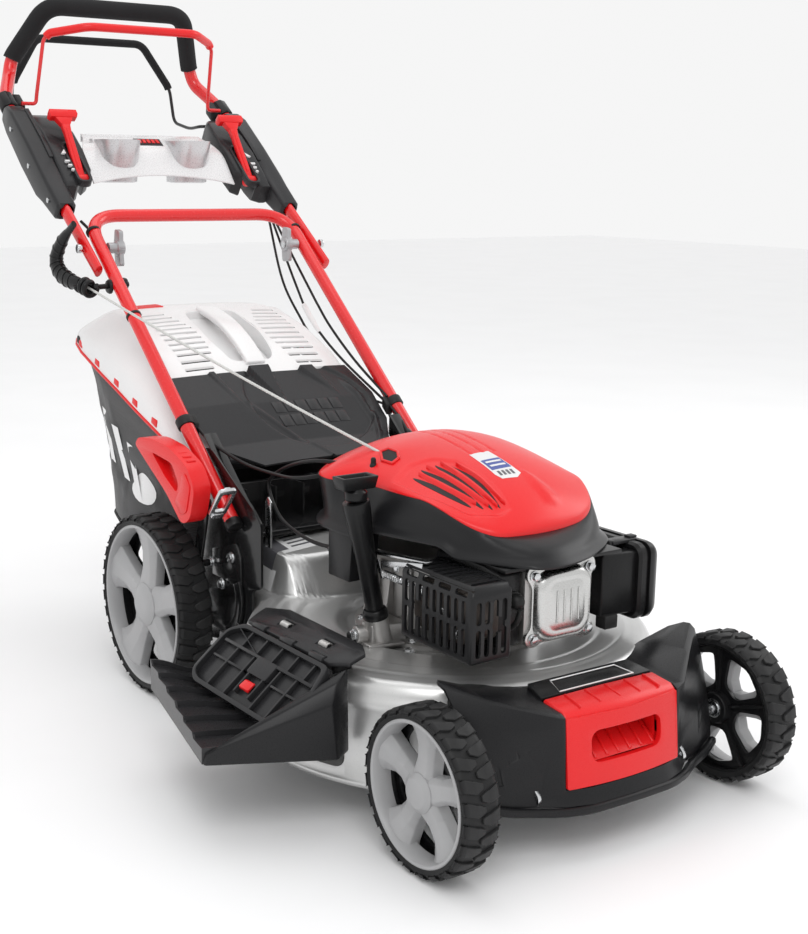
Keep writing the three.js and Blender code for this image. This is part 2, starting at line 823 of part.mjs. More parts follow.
// The covers clamp round the upper tubes and hold the levers' slots.
function addCovers() {
  const plan = [
    [-26, 12],
    [230, 24],
    [262, 16],
    [268, -16],
    [60, -34],
    [-10, -20],
  ];
  const innerPlan = plan.map(([u, v]) => [Math.max(u, 30), v]);
  const shell = join(onSlope(plateX(plan, 204, 240)), onSlope(plateX(innerPlan, 142, 206)));
  const start = [UPPER.half, 958, 636];
  const end = [UPPER.half, 1346, 916.7];
  const tubeBore = rod(start, end, UPPER.radius + 0.6, 12);
  const leverSlot = onSlope(box(150, 186, 37, 130, -60, 60));
  const cover = geometryOf(carve(shell, tubeBore, leverSlot));
  addPart("left_cover", cover, moulded(GRAPHITE));
  addPart("right_cover", flipX(cover), moulded(GRAPHITE));
}

// The console spans between the covers and holds two cups.
const CUP = { x: 70, y: 1192, floor: 780, rim: 838, bore: 28.5, radius: 31 };
function addConsole() {
  const panel = [
    [44, -8],
    [60, 6],
    [110, 22],
    [160, 14],
    [160, 8],
    [110, 15],
    [62, 0],
    [48, -12],
  ];
  const { x, y, floor, rim, bore, radius } = CUP;
  const wells = [-x, x].map((cx) => rod([cx, y, floor - 4], [cx, y, rim], radius, 16));
  const hollows = [-x, x].map((cx) => rod([cx, y, floor], [cx, y, rim + 42], bore, 16));
  const skin = onSlope(plateX(panel, -141.5, 141.5));
  addPart("console", carve(join(skin, ...wells), ...hollows), painted(WHITE));
}

const CONTROL = { y: 1140, z: 781, lean: 34.6, reach: 134 };
function addLevers() {
  const { y, z, lean, reach } = CONTROL;
  for (const [name, side] of [
    ["throttle_lever", -1],
    ["speed_lever", 1],
  ]) {
    const x = 168 * side;
    const hub = rod([x - 12, 0, 0], [x + 12, 0, 0], 10, 14);
    const stem = box(x - 7, x + 7, -4, 4, 0, reach - 10);
    const bar = hull([
      ...[-1, 1].flatMap((s) => [
        [x + s * 22, -6, reach - 12],
        [x + s * 22, 6, reach - 12],
        [x + s * 26, -9, reach + 8],
        [x + s * 26, 9, reach + 8],
      ]),
    ]);
    const lever = geometryOf(join(hub, stem, bar));
    lever.rotateX(-lean * THREE.MathUtils.DEG2RAD).translate(0, y, z);
    addPart(name, lever, painted(RED));
  }
}

// Wing knobs clamp the upper handle to the lower one.
function addKnobs() {
  for (const [name, side] of [
    ["right_knob", -1],
    ["left_knob", 1],
  ]) {
    const at = (x) => [side * x, UPPER.pivotY, UPPER.pivotZ];
    const stem = rod(at(185.4), at(168), 8, 12);
    const [x0, x1] = side > 0 ? [160, 172] : [-172, -160];
    const wing = plateX(
      [
        [-10, -30],
        [10, -30],
        [8, 0],
        [12, 30],
        [-8, 30],
        [-10, 0],
      ],
      x0,
      x1,
    ).translate(0, UPPER.pivotY, UPPER.pivotZ);
    addPart(name, join(stem, wing), metal(ALUMINIUM));
  }
}

// Folding loops beside the lower tubes' feet.
function addReleases() {
  for (const [name, side] of [
    ["right_release", -1],
    ["left_release", 1],
  ]) {
    const frame = carve(box(212, 240, -2.5, 2.5, 0, 58), box(218, 234, -4, 4, 8, 50));
    const turned = geometryOf(frame)
      .rotateX(HANDLE.angle * THREE.MathUtils.DEG2RAD)
      .translate(0, 556, 311);
    addPart(name, side > 0 ? turned : flipX(turned), metal(ALUMINIUM));
  }
}

// ---------------------------------------------------------------- starter rope and cables
const GRIP_HOLD = [-249.5, 971.6, 617.9];
const between = (a, b, t) => a.map((v, i) => v + (b[i] - v) * t);

function addStarter() {
  const bracket = rod([-232, 946, 612], [-212.8, 944, 612], 7, 10);
  const eye = rod([-241, 935, 607.2], [-247, 961, 614.8], 12, 14);
  const bore = rod([-236, 913, 600.9], [-252, 983, 621.1], 4.5, 10);
  addPart("rope_guide", join(bracket, carve(solidOf(eye), bore)), moulded(BLACK));
  const hook = [
    GRIP_HOLD,
    [-254, 1008, 622],
    [-256, 1052, 640],
    [-252, 1040, 676],
    [-250, 985, 712],
  ];
  addPart("starter_grip", tube(hook, 11, { bend: 26, steps: 3, sides: 8 }), moulded(BLACK));
  const ends = [between(ROPE_EXIT, ROPE_GUIDE, 0.015), between(ROPE_GUIDE, GRIP_HOLD, 0.9)];
  addPart("starter_rope", tube(ends, 2.2, { sides: 8 }), moulded(WHITE));
}

// Bowden cables down the handle to the engine.
const THROTTLE_ROUTE = [
  [-192, 1088, 706],
  [-180, 1060, 691],
  [-179, 1000, 646],
  [-179, 706, 424],
  [-179, 668, 400],
  [-168, 636, 394],
  [-162, 560, 372],
  [-158, 436, 380],
  [-130, 400, 394],
];
const CONTROL_ROUTE = [
  [192, 1088, 706],
  [180, 1060, 691],
  [179, 1000, 646],
  [179, 706, 424],
  [179, 668, 400],
  [168, 636, 394],
  [166, 560, 372],
  [163, 470, 345],
  [166, 425, 330],
];
function addCables() {
  const lead = (route, radius) => tube(route, radius, { bend: 30, steps: 2, sides: 8 });
  addPart("throttle_cable", lead(THROTTLE_ROUTE, 2.6), moulded(BLACK));
  addPart("control_cable", lead(CONTROL_ROUTE, 2.6), moulded(BLACK));
}

// ---------------------------------------------------------------- flap and grass catcher
const FLAP_REAR = { y: 812, z: 478 };
function addRearFlap() {
  const lift = 6;
  const top = [
    [-166, FLAP_REAR.y, FLAP_REAR.z],
    [166, FLAP_REAR.y, FLAP_REAR.z],
    [176, 742, 440],
    [167, FLAP_HINGE.y + 14, FLAP_HINGE.z + 12],
    [110, 612, 366],
    [-110, 612, 366],
    [-167, FLAP_HINGE.y + 14, FLAP_HINGE.z + 12],
    [-176, 742, 440],
  ];
  const panel = hull([...top, ...top.map(([x, y, z]) => [x, y, z - lift])]);
  const barrel = rod([-160, FLAP_HINGE.y, FLAP_HINGE.z], [160, FLAP_HINGE.y, FLAP_HINGE.z], 6, 12);
  addPart("rear_flap", join(panel, barrel), moulded(GRAPHITE));
}

const lidTop = (w) => [
  [-150 + w, 700, 388 - w],
  [150 - w, 700, 388 - w],
  [-160 + w, 806, 466 - w],
  [160 - w, 806, 466 - w],
  [-168 + w, 860, 505 - w],
  [168 - w, 860, 505 - w],
  [-155 + w, 1010, 562 - w],
  [155 - w, 1010, 562 - w],
  [-148 + w, 1112, 560 - w],
  [148 - w, 1112, 560 - w],
];
const lidRim = (w) =>
  [-1, 1].flatMap((s) => [
    [s * (196 - w), 690, 356],
    [s * (205 - w), 790, 393],
    [s * (205 - w), 1090 - w, 494],
    [s * (188 - w), 1132 - w, 506],
  ]);
function addCatcherLid() {
  const shell = hull([...lidTop(0), ...lidRim(0)]);
  const rimInside = lidRim(4).map(([x, y, z]) => [x, y, z - 12]);
  const inside = hull([...lidTop(4), ...rimInside, [0, 660, 330]]);
  const mouth = box(-150, 150, 660, 702, 300, 380);
  addPart("catcher_lid", carve(solidOf(shell), inside, mouth), painted(WHITE));
}

// The bag hangs from the lid's rim; w moves its skin inward and rise lifts its open top.
const bagPoints = (w, rise) =>
  [-1, 1].flatMap((s) => [
    [s * (194 - w), 692 + w, 352 + rise],
    [s * (202 - w), 790, 389 + rise],
    [s * (202 - w), 1088 - w, 490 + rise],
    [s * (185 - w), 1128 - w, 501 + rise],
    [s * (176 - w), 715 + w, 186 + w],
    [s * (196 - w), 800, 196 + w],
    [s * (194 - w), 1010 - w, 214 + w],
    [s * (170 - w), 1044 - w, 226 + w],
  ]);
function addCatcherBag() {
  const wall = 4;
  const feed = box(-160, 160, 660, 740, 200, 345);
  const roof = hull(
    lidRim(-20).flatMap(([x, y, z]) => [
      [x, y, z - GAP],
      [x, y, z + 60],
    ]),
  );
  const skin = solidOf(hull(bagPoints(0, 0)));
  const bag = carve(skin, hull(bagPoints(wall, 12)), feed, roof);
  addPart("catcher_bag", bag, moulded(BLACK));
}

addWheel("front_right", -1, FRONT_WHEEL);
addWheel("front_left", 1, FRONT_WHEEL);
addWheel("rear_right", -1, REAR_WHEEL);
addWheel("rear_left", 1, REAR_WHEEL);
addHeightAdjuster();
addHeightLever();
addDeck();
addBumper();
addRearFrame();
addSideChute();
addSideFlap();
addEngineBlock();
addShrouds();
addExhaust();
addAirAndFuel();
addOilFiller();
addCrankshaft();
addBlade();
addStarterPulley();
addRearDrive();
addLowerHandle();
addUpperHandle();
addBails();
addCovers();
addConsole();
addLevers();
addKnobs();
addReleases();
addStarter();
addCables();
addRearFlap();
addCatcherLid();
addCatcherBag();

export default mower;
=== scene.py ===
"""Looks of the walk-behind petrol lawn mower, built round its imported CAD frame.

Shapes are written in the machine's design frame: millimetres, x = 0 the middle plane,
y = 0 the front wheel centres, z = 0 the ground. -Y is the front and -X the operator's right.
"""
import math

import bmesh
import bpy
from mathutils import Matrix, Vector, noise
from mathutils.geometry import tessellate_polygon


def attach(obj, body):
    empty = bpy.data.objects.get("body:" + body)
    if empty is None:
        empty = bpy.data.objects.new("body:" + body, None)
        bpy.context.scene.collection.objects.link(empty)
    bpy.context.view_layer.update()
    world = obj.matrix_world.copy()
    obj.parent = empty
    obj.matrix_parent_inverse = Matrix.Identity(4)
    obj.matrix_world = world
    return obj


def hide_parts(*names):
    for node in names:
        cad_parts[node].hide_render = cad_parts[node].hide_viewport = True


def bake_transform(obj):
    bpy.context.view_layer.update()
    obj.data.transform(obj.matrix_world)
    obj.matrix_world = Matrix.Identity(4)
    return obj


ORIGIN = Vector((-79.5, 687.5, 0))

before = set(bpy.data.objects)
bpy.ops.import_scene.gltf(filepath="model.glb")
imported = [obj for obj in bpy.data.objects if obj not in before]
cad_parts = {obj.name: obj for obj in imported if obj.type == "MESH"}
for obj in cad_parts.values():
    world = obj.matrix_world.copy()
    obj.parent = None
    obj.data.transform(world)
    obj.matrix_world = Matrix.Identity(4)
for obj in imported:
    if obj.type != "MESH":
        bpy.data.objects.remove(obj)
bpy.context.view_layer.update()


def row(x, y, z):
    """A design point in the row frame's metres."""
    return (Vector((x, y, z)) - ORIGIN) / 1000


# ------------------------------------------------------------------ shapes
class Shape:
    """Vertices in design millimetres and the faces over them."""

    def __init__(self, verts=(), faces=()):
        self.v = [Vector(p) for p in verts]
        self.f = [tuple(f) for f in faces]

    def add(self, *others):
        for other in others:
            start = len(self.v)
            self.v += [p.copy() for p in other.v]
            self.f += [tuple(i + start for i in f) for f in other.f]
        return self

    def copy(self):
        return Shape(self.v, self.f)

    def moved(self, x=0, y=0, z=0):
        return Shape([p + Vector((x, y, z)) for p in self.v], self.f)

    def turned(self, axis, degrees, about=(0, 0, 0)):
        turn = Matrix.Rotation(math.radians(degrees), 3, axis)
        c = Vector(about)
        return Shape([turn @ (p - c) + c for p in self.v], self.f)

    def mirrored(self):
        return Shape([(-p.x, p.y, p.z) for p in self.v], [f[::-1] for f in self.f])

    def both(self):
        return self.copy().add(self.mirrored())

    def warped(self, rule):
        return Shape([rule(p) for p in self.v], self.f)


def joined(shapes):
    return Shape().add(*shapes)


def handed(shape, sign):
    """The shape as written for the left, or its mirror image for the right."""
    return shape if sign > 0 else shape.mirrored()


def circle(u, v, radius, sides=16, start=0.0, sweep=2 * math.pi):
    steps = sides if sweep > 6.28 else sides + 1
    angles = [start + sweep * i / sides for i in range(steps)]
    return [(u + radius * math.cos(a), v + radius * math.sin(a)) for a in angles]


def slot_outline(u0, v0, u1, v1, radius, steps=4):
    """A rectangle with round corners."""
    r = min(radius, abs(u1 - u0) / 2, abs(v1 - v0) / 2)
    centres = [(u1 - r, v1 - r, 0), (u0 + r, v1 - r, 1), (u0 + r, v0 + r, 2), (u1 - r, v0 + r, 3)]
    points = []
    for cu, cv, quarter in centres:
        points += circle(cu, cv, r, steps, quarter * math.pi / 2, math.pi / 2)
    return points


def corner(before, at, after, radius, steps):
    """The curve that takes the place of one corner of a path."""
    back, ahead = before - at, after - at
    r = min(radius, back.length * 0.45, ahead.length * 0.45)
    a, b = at + back.normalized() * r, at + ahead.normalized() * r
    shares = [k / steps for k in range(steps + 1)]
    return [a.lerp(at, t).lerp(at.lerp(b, t), t) for t in shares]


def rounded(points, radius, steps=3):
    """A closed outline with its corners rounded; works in two or three dimensions."""
    pts = [Vector(p) for p in points]
    out = []
    for i, p in enumerate(pts):
        out += corner(pts[i - 1], p, pts[(i + 1) % len(pts)], radius, steps)
    return [tuple(p) for p in out]


AXIS_MAP = {
    "x": lambda u, v, w: (w, u, v),
    "y": lambda u, v, w: (u, w, v),
    "z": lambda u, v, w: (u, v, w),
}


def plate(outline, axis, a, b, holes=()):
    """An outline, with holes, extruded from a to b along an axis."""
    place = AXIS_MAP[axis]
    loops = [list(outline)] + [list(h) for h in holes]
    flat = [[Vector((p[0], p[1], 0)) for p in loop] for loop in loops]
    tris = tessellate_polygon(flat)
    points = [p for loop in loops for p in loop]
    n = len(points)
    shape = Shape(
        [place(p[0], p[1], a) for p in points] + [place(p[0], p[1], b) for p in points]
    )
    shape.f += [tuple(t) for t in tris] + [tuple(i + n for i in reversed(t)) for t in tris]
    start = 0
    for loop in loops:
        count = len(loop)
        for i in range(count):
            j = (i + 1) % count
            shape.f.append((start + i, start + j, start + j + n, start + i + n))
        start += count
    return shape


def block(x0, x1, y0, y1, z0, z1):
    """A box between two corners."""
    return plate([(x0, y0), (x1, y0), (x1, y1), (x0, y1)], "z", z0, z1)


def turned_profile(profile, axis="z", centre=(0, 0), segments=32):
    """A profile of (radius, height) spun about an axis through centre."""
    place = AXIS_MAP[axis]
    n = len(profile)
    shape = Shape()
    for k in range(segments):
        a = math.radians(360) * k / segments
        u, v = math.cos(a), math.sin(a)
        shape.v += [Vector(place(centre[0] + r * u, centre[1] + r * v, h)) for r, h in profile]
    for k in range(segments):
        k1 = (k + 1) % segments
        for i in range(n - 1):
            shape.f.append((k * n + i, k1 * n + i, k1 * n + i + 1, k * n + i + 1))
    return shape


def disc_stack(profile, axis, centre, segments=32):
    """A solid turned piece, closed at both ends of its profile."""
    closed = [(0, profile[0][1])] + list(profile) + [(0, profile[-1][1])]
    return turned_profile(closed, axis, centre, segments)


def bar(a, b, radius, sides=12):
    """A round bar between two points."""
    return sweep_tube([a, b], radius, sides=sides)


def bent(points, radius, steps=5):
    """An open path with its inner corners rounded."""
    pts = [Vector(p) for p in points]
    out = [pts[0]]
    for before, at, after in zip(pts, pts[1:], pts[2:]):
        out += corner(before, at, after, radius, steps)
    return out + [pts[-1]]


def smooth_path(points, per_span=8):
    """A Catmull-Rom curve through the points."""
    pts = [Vector(p) for p in points]
    ends = [2 * pts[0] - pts[1]] + pts + [2 * pts[-1] - pts[-2]]
    out = []
    for p0, p1, p2, p3 in zip(ends, ends[1:], ends[2:], ends[3:]):
        for k in range(per_span):
            t = k / per_span
            square = (2 * p0 - 5 * p1 + 4 * p2 - p3) * t * t
            cube = (3 * p1 - p0 - 3 * p2 + p3) * t * t * t
            out.append(0.5 * (2 * p1 + (p2 - p0) * t + square + cube))
    out.append(pts[-1])
    return out


def band(rows, count, closed=True):
    """The faces over rows of points that lie one after another."""
    last = count if closed else count - 1
    faces = []
    for i in range(rows - 1):
        for k in range(last):
            a, b = i * count + k, i * count + (k + 1) % count
            faces.append((a, b, b + count, a + count))
    return faces


def end_faces(rows, count):
    """One face over the first row and one over the last."""
    return [tuple(range(count))[::-1], tuple(range((rows - 1) * count, rows * count))]


def sweep_tube(path, radius, sides=12, radii=None, section=None, up=None):
    """A tube, or any section, along a path without twist."""
    pts = [Vector(p) for p in path]
    count = len(pts)
    normal = None
    ring = section or circle(0, 0, 1, sides)
    shape = Shape()
    for i, p in enumerate(pts):
        t = (pts[min(i + 1, count - 1)] - pts[max(i - 1, 0)]).normalized()
        if normal is None:
            normal = Vector(up) if up else t.orthogonal()
        normal = (normal - t * normal.dot(t)).normalized()
        side = t.cross(normal)
        r = radii[i] if radii else radius
        shape.v += [p + (normal * u + side * v) * r for u, v in ring]
    shape.f = band(count, len(ring)) + end_faces(count, len(ring))
    return shape


def loft(rings, caps=True, closed=True):
    """A skin over rings of points with the same count."""
    rows, count = len(rings), len(rings[0])
    shape = Shape([p for ring in rings for p in ring])
    shape.f = band(rows, count, closed)
    if caps:
        shape.f += end_faces(rows, count)
    return shape


def hull(points):
    """The smallest solid with flat faces round the points."""
    bm = bmesh.new()
    for p in points:
        bm.verts.new(p)
    result = bmesh.ops.convex_hull(bm, input=bm.verts)
    spare = [g for g in result["geom_interior"] if isinstance(g, bmesh.types.BMVert)]
    bmesh.ops.delete(bm, geom=spare, context="VERTS")
    bmesh.ops.dissolve_limit(bm, angle_limit=0.01, verts=bm.verts, edges=bm.edges)
    return taken_from(bm)


def taken_from(bm):
    """The edited mesh as a Shape; the mesh is freed."""
    bm.verts.index_update()
    shape = Shape([v.co for v in bm.verts], [[v.index for v in f.verts] for f in bm.faces])
    bm.free()
    return shape


def prism(x0, x1, profile):
    """The hull of one side profile, in (y, z), set at two places across the machine."""
    return hull([(x, y, z) for x in (x0, x1) for y, z in profile])


# ------------------------------------------------------------------ objects
def to_mesh(shape, name):
    mesh = bpy.data.meshes.new(name)
    mesh.from_pydata([row(*p) for p in shape.v], [], shape.f)
    bm = bmesh.new()
    bm.from_mesh(mesh)
    bmesh.ops.remove_doubles(bm, verts=bm.verts, dist=2e-5)
    bmesh.ops.recalc_face_normals(bm, faces=bm.faces)
    bm.to_mesh(mesh)
    bm.free()
    return mesh


def settle(obj):
    """Applies the object's modifiers to its mesh."""
    graph = bpy.context.evaluated_depsgraph_get()
    mesh = bpy.data.meshes.new_from_object(obj.evaluated_get(graph))
    obj.modifiers.clear()
    obj.data = mesh
    return obj


def shade(obj, degrees=40):
    """Smooth shading with edges sharper than the angle kept."""
    for polygon in obj.data.polygons:
        polygon.use_smooth = True
    if hasattr(obj.data, "set_sharp_from_angle"):
        obj.data.set_sharp_from_angle(angle=math.radians(degrees))


def cut_with(obj, tool, kind="DIFFERENCE"):
    """Cuts a tool shape out of the object, or joins it on."""
    other = bpy.data.objects.new(obj.name + "_tool", to_mesh(tool, obj.name + "_tool"))
    bpy.context.scene.collection.objects.link(other)
    boolean = obj.modifiers.new("cut", "BOOLEAN")
    boolean.operation, boolean.object, boolean.solver = kind, other, "EXACT"
    settle(obj)
    bpy.data.objects.remove(other)


def add_bevel(obj, width, segments, degrees):
    """A bevel modifier, in millimetres, on the edges sharper than the angle."""
    rounder = obj.modifiers.new("bevel", "BEVEL")
    rounder.width, rounder.segments = width / 1000, segments
    rounder.limit_method, rounder.angle_limit = "ANGLE", math.radians(degrees)


def soften(obj, width, segments=2, degrees=25):
    """Bevels a finished object."""
    add_bevel(obj, width, segments, degrees)
    settle(obj)


def piece(name, shape, material, body=None, bevel=0.0, segments=2, cut=(), angle=30, weld=(),
          smooth=40, thick=0.0):
    """One visible object: a shape, its cuts, bevel and material, riding on a body."""
    obj = bpy.data.objects.new(name, to_mesh(shape, name))
    bpy.context.scene.collection.objects.link(obj)
    for kind, tools in (("UNION", weld), ("DIFFERENCE", cut)):
        for tool in tools:
            cut_with(obj, tool, kind)
    if thick:
        solid = obj.modifiers.new("thick", "SOLIDIFY")
        solid.thickness, solid.offset = thick / 1000, -1
    if bevel:
        add_bevel(obj, bevel, segments, angle)
    if obj.modifiers:
        settle(obj)
    obj.data.materials.clear()
    obj.data.materials.append(M[material])
    shade(obj, smooth)
    if body:
        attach(obj, body)
    return obj


# ------------------------------------------------------------------ materials
class Nodes:
    """A small helper round one material's node tree."""

    def __init__(self, name):
        self.material = bpy.data.materials.new(name)
        self.material.use_nodes = True
        self.tree = self.material.node_tree
        self.shader = self.tree.nodes["Principled BSDF"]
        self.coords = self.new("ShaderNodeTexCoord").outputs["Object"]

    def new(self, kind, **values):
        node = self.tree.nodes.new(kind)
        for key, value in values.items():
            if hasattr(node, key):
                setattr(node, key, value)
            else:
                node.inputs[key.replace("_", " ")].default_value = value
        return node

    def link(self, a, b):
        self.tree.links.new(a, b)

    def noise(self, scale, detail=3.0, rough=0.5, stretch=None):
        node = self.new("ShaderNodeTexNoise", Scale=scale, Detail=detail, Roughness=rough)
        source = self.coords
        if stretch:
            mapping = self.new("ShaderNodeMapping")
            mapping.inputs["Scale"].default_value = stretch
            self.link(source, mapping.inputs["Vector"])
            source = mapping.outputs["Vector"]
        self.link(source, node.inputs["Vector"])
        return node.outputs["Fac"]

    def ramp(self, fac, stops):
        node = self.new("ShaderNodeValToRGB")
        elements = node.color_ramp.elements
        while len(elements) < len(stops):
            elements.new(0.5)
        for element, (at, color) in zip(elements, stops):
            element.position = at
            element.color = (*color, 1)
        self.link(fac, node.inputs["Fac"])
        return node.outputs["Color"]

    def remap(self, fac, low, high, start=0.0, end=1.0):
        node = self.new("ShaderNodeMapRange")
        node.inputs["From Min"].default_value = start
        node.inputs["From Max"].default_value = end
        node.inputs["To Min"].default_value = low
        node.inputs["To Max"].default_value = high
        self.link(fac, node.inputs["Value"])
        return node.outputs["Result"]

    def mix(self, fac, a, b):
        node = self.new("ShaderNodeMix", data_type="RGBA")
        for socket, value in ((0, fac), (6, a), (7, b)):
            if isinstance(value, bpy.types.NodeSocket):
                self.link(value, node.inputs[socket])
            elif socket == 0:
                node.inputs[socket].default_value = value
            else:
                node.inputs[socket].default_value = (*value, 1)
        return node.outputs[2]

    def bump(self, height, strength, distance=0.001, before=None):
        node = self.new("ShaderNodeBump")
        node.inputs["Strength"].default_value = strength
        node.inputs["Distance"].default_value = distance
        self.link(height, node.inputs["Height"])
        if before:
            self.link(before, node.inputs["Normal"])
        return node.outputs["Normal"]

    def edges(self, amount):
        """How far a point is on a convex edge, from 0 to 1."""
        geometry = self.new("ShaderNodeNewGeometry")
        return self.remap(geometry.outputs["Pointiness"], 0, amount, 0.52, 0.62)


def shade_of(color, k):
    return tuple(min(1.0, c * k) for c in color)


def surface(
    name, color, rough, metallic=0.0, grain=900.0, grain_bump=0.15, mottle=0.06, wear=0.25,
    coat=0.0, coat_rough=0.1, rough_spread=0.06, stretch=None, fade=None, flakes=0.0, ior=1.45,
):
    """A solid material: tone varies slowly, edges are rubbed paler, fine grain in bump and gloss."""
    n = Nodes(name)
    slow = n.noise(9.0, 4.0)
    tone = n.ramp(slow, [(0.3, shade_of(color, 1 - mottle)), (0.7, shade_of(color, 1 + mottle))])
    pale = fade or tuple(c + (max(c, 0.5) - c) * 0.14 for c in color)
    tone = n.mix(n.edges(wear), tone, pale)
    fine = n.noise(grain, 2.0, 0.6, stretch)
    if flakes:
        sparkle = n.noise(2600.0, 1.0, 0.7)
        tone = n.mix(n.remap(sparkle, 0, flakes, 0.5, 0.75), tone, shade_of(color, 1.45))
    n.link(tone, n.shader.inputs["Base Color"])
    n.link(n.remap(fine, rough - rough_spread, rough + rough_spread, 0.25, 0.75),
           n.shader.inputs["Roughness"])
    n.link(n.bump(fine, grain_bump, 0.0004), n.shader.inputs["Normal"])
    n.shader.inputs["Metallic"].default_value = metallic
    n.shader.inputs["Coat Weight"].default_value = coat
    n.shader.inputs["Coat Roughness"].default_value = coat_rough
    n.shader.inputs["IOR"].default_value = ior
    n.shader.inputs["Specular IOR Level"].default_value = 0.3 if max(color) < 0.05 else 0.5
    return n.material


M = {
    "red_paint": surface("red_paint", (0.72, 0.006, 0.008), 0.24, grain=260, grain_bump=0.008,
                         mottle=0.03, wear=0.1, coat=0.6, coat_rough=0.06),
    "red_plastic": surface("red_plastic", (0.74, 0.009, 0.011), 0.30, grain=1500,
                           grain_bump=0.05, mottle=0.03, wear=0.12),
    "silver_paint": surface("silver_paint", (0.58, 0.58, 0.575), 0.33, metallic=0.72,
                            grain=600, grain_bump=0.02, mottle=0.05, wear=0.15, coat=0.5,
                            coat_rough=0.12, flakes=0.5),
    "black_paint": surface("black_paint", (0.006, 0.006, 0.0065), 0.20, grain=400,
                           grain_bump=0.05, wear=0.12, coat=0.4),
    "black_plastic": surface("black_plastic", (0.006, 0.006, 0.0065), 0.30, grain=1300,
                             grain_bump=0.10, wear=0.12),
    "dark_plastic": surface("dark_plastic", (0.010, 0.010, 0.011), 0.32, grain=1300,
                            grain_bump=0.10, wear=0.15),
    "graphite": surface("graphite", (0.020, 0.020, 0.0215), 0.30, grain=1300, grain_bump=0.10,
                        wear=0.15),
    "grey_plastic": surface("grey_plastic", (0.36, 0.36, 0.365), 0.34, grain=900,
                            grain_bump=0.12, wear=0.12),
    "white_plastic": surface("white_plastic", (0.80, 0.80, 0.80), 0.30, grain=900,
                             grain_bump=0.08, mottle=0.015, wear=0.05, coat=0.3),
    "tyre": surface("tyre", (0.011, 0.011, 0.0115), 0.50, grain=700, grain_bump=0.2,
                    mottle=0.2, wear=0.25),
    "cast": surface("cast", (0.42, 0.41, 0.40), 0.42, metallic=0.9, grain=420, grain_bump=0.5,
                    mottle=0.12, wear=0.4),
    "polished": surface("polished", (0.58, 0.58, 0.57), 0.27, metallic=1.0, grain=250,
                        grain_bump=0.02, mottle=0.04, wear=0.2, stretch=(1, 1, 12)),
    "zinc": surface("zinc", (0.62, 0.63, 0.64), 0.24, metallic=1.0, grain=500,
                    grain_bump=0.12, mottle=0.08, wear=0.2),
    "blade_steel": surface("blade_steel", (0.13, 0.13, 0.14), 0.45, metallic=0.9, grain=300,
                           grain_bump=0.3, mottle=0.15, wear=0.7, stretch=(1, 8, 8)),
    "foam": surface("foam", (0.013, 0.013, 0.014), 0.75, grain=1800, grain_bump=0.9,
                    mottle=0.15, wear=0.1),
    "rubber": surface("rubber", (0.010, 0.010, 0.010), 0.45, grain=900, grain_bump=0.1),
    "graphite_dark": surface("graphite_dark", (0.009, 0.009, 0.010), 0.30, grain=1200,
                             grain_bump=0.10, wear=0.15),
    "burnt_steel": surface("burnt_steel", (0.10, 0.085, 0.075), 0.5, metallic=0.8, grain=500,
                           grain_bump=0.4, mottle=0.35, wear=0.3),
    "bag_trim": surface("bag_trim", (0.014, 0.014, 0.015), 0.7, grain=1500, grain_bump=0.6,
                        mottle=0.15),
    "pearl": surface("pearl", (0.74, 0.74, 0.745), 0.28, metallic=0.15, grain=500, grain_bump=0.005,
                     mottle=0.02, wear=0.06, coat=0.5, coat_rough=0.08),
    "knob_metal": surface("knob_metal", (0.40, 0.40, 0.41), 0.36, metallic=0.55, grain=420,
                          grain_bump=0.25, mottle=0.06, wear=0.25),
    "label": surface("label", (0.72, 0.72, 0.72), 0.35, grain=300, grain_bump=0.02, wear=0.05),
    "label_print": surface("label_print", (0.10, 0.10, 0.11), 0.4, grain=300, grain_bump=0.02),
    "label_blue": surface("label_blue", (0.05, 0.08, 0.32), 0.3, grain=300, grain_bump=0.02),
    "silver_plastic": surface("silver_plastic", (0.62, 0.62, 0.63), 0.30, metallic=0.5,
                              grain=500, grain_bump=0.006, mottle=0.03, wear=0.1),
}


def rope_material():
    n = Nodes("rope")
    wave = n.new("ShaderNodeTexWave", Scale=420.0)
    wave.bands_direction = "DIAGONAL"
    n.link(n.coords, wave.inputs["Vector"])
    # The wave's low bands, sunk by the bump as grooves between strands, are painted darker: painted shade
    # in the grooves.
    n.link(n.ramp(wave.outputs["Fac"], [(0.2, (0.45, 0.45, 0.43)), (0.7, (0.86, 0.86, 0.84))]),
           n.shader.inputs["Base Color"])
    n.link(n.bump(wave.outputs["Fac"], 0.8, 0.0004), n.shader.inputs["Normal"])
    n.shader.inputs["Roughness"].default_value = 0.8
    return n.material


def mesh_fabric():
    """Woven bag mesh: crossed threads, with painted shade in the open pores between them."""
    n = Nodes("bag_mesh")
    threads = []
    for direction in ("DIAGONAL", "Z"):
        wave = n.new("ShaderNodeTexWave", Scale=150.0)
        wave.bands_direction = direction
        n.link(n.coords, wave.inputs["Vector"])
        threads.append(wave.outputs["Fac"])
    weave = n.new("ShaderNodeMath", operation="MAXIMUM")
    n.link(threads[0], weave.inputs[0])
    n.link(threads[1], weave.inputs[1])
    # Pores between the threads are painted near black, darker than the threads: painted shade.
    tone = n.ramp(weave.outputs["Value"], [(0.35, (0.002, 0.002, 0.002)), (0.8, (0.03, 0.03, 0.032))])
    n.link(tone, n.shader.inputs["Base Color"])
    n.link(n.bump(weave.outputs["Value"], 0.7, 0.0006), n.shader.inputs["Normal"])
    n.shader.inputs["Roughness"].default_value = 0.85
    n.shader.inputs["Sheen Weight"].default_value = 0.3
    return n.material


M["rope"] = rope_material()
M["bag_mesh"] = mesh_fabric()


# ------------------------------------------------------------------ camera, light, floor
CAMERA_AT = (-1193.57, -1226.89, 803.94)
CAMERA_TURN = {"azimuth": -34.456, "elevation": 11.846, "roll": 0.692}
LENS, SENSOR = 55.055, 36  # millimetres
SHIFT_X, SHIFT_Y = 0.04505, 0.00254  # shares of the picture's longer side
FARTHEST = 50  # metres


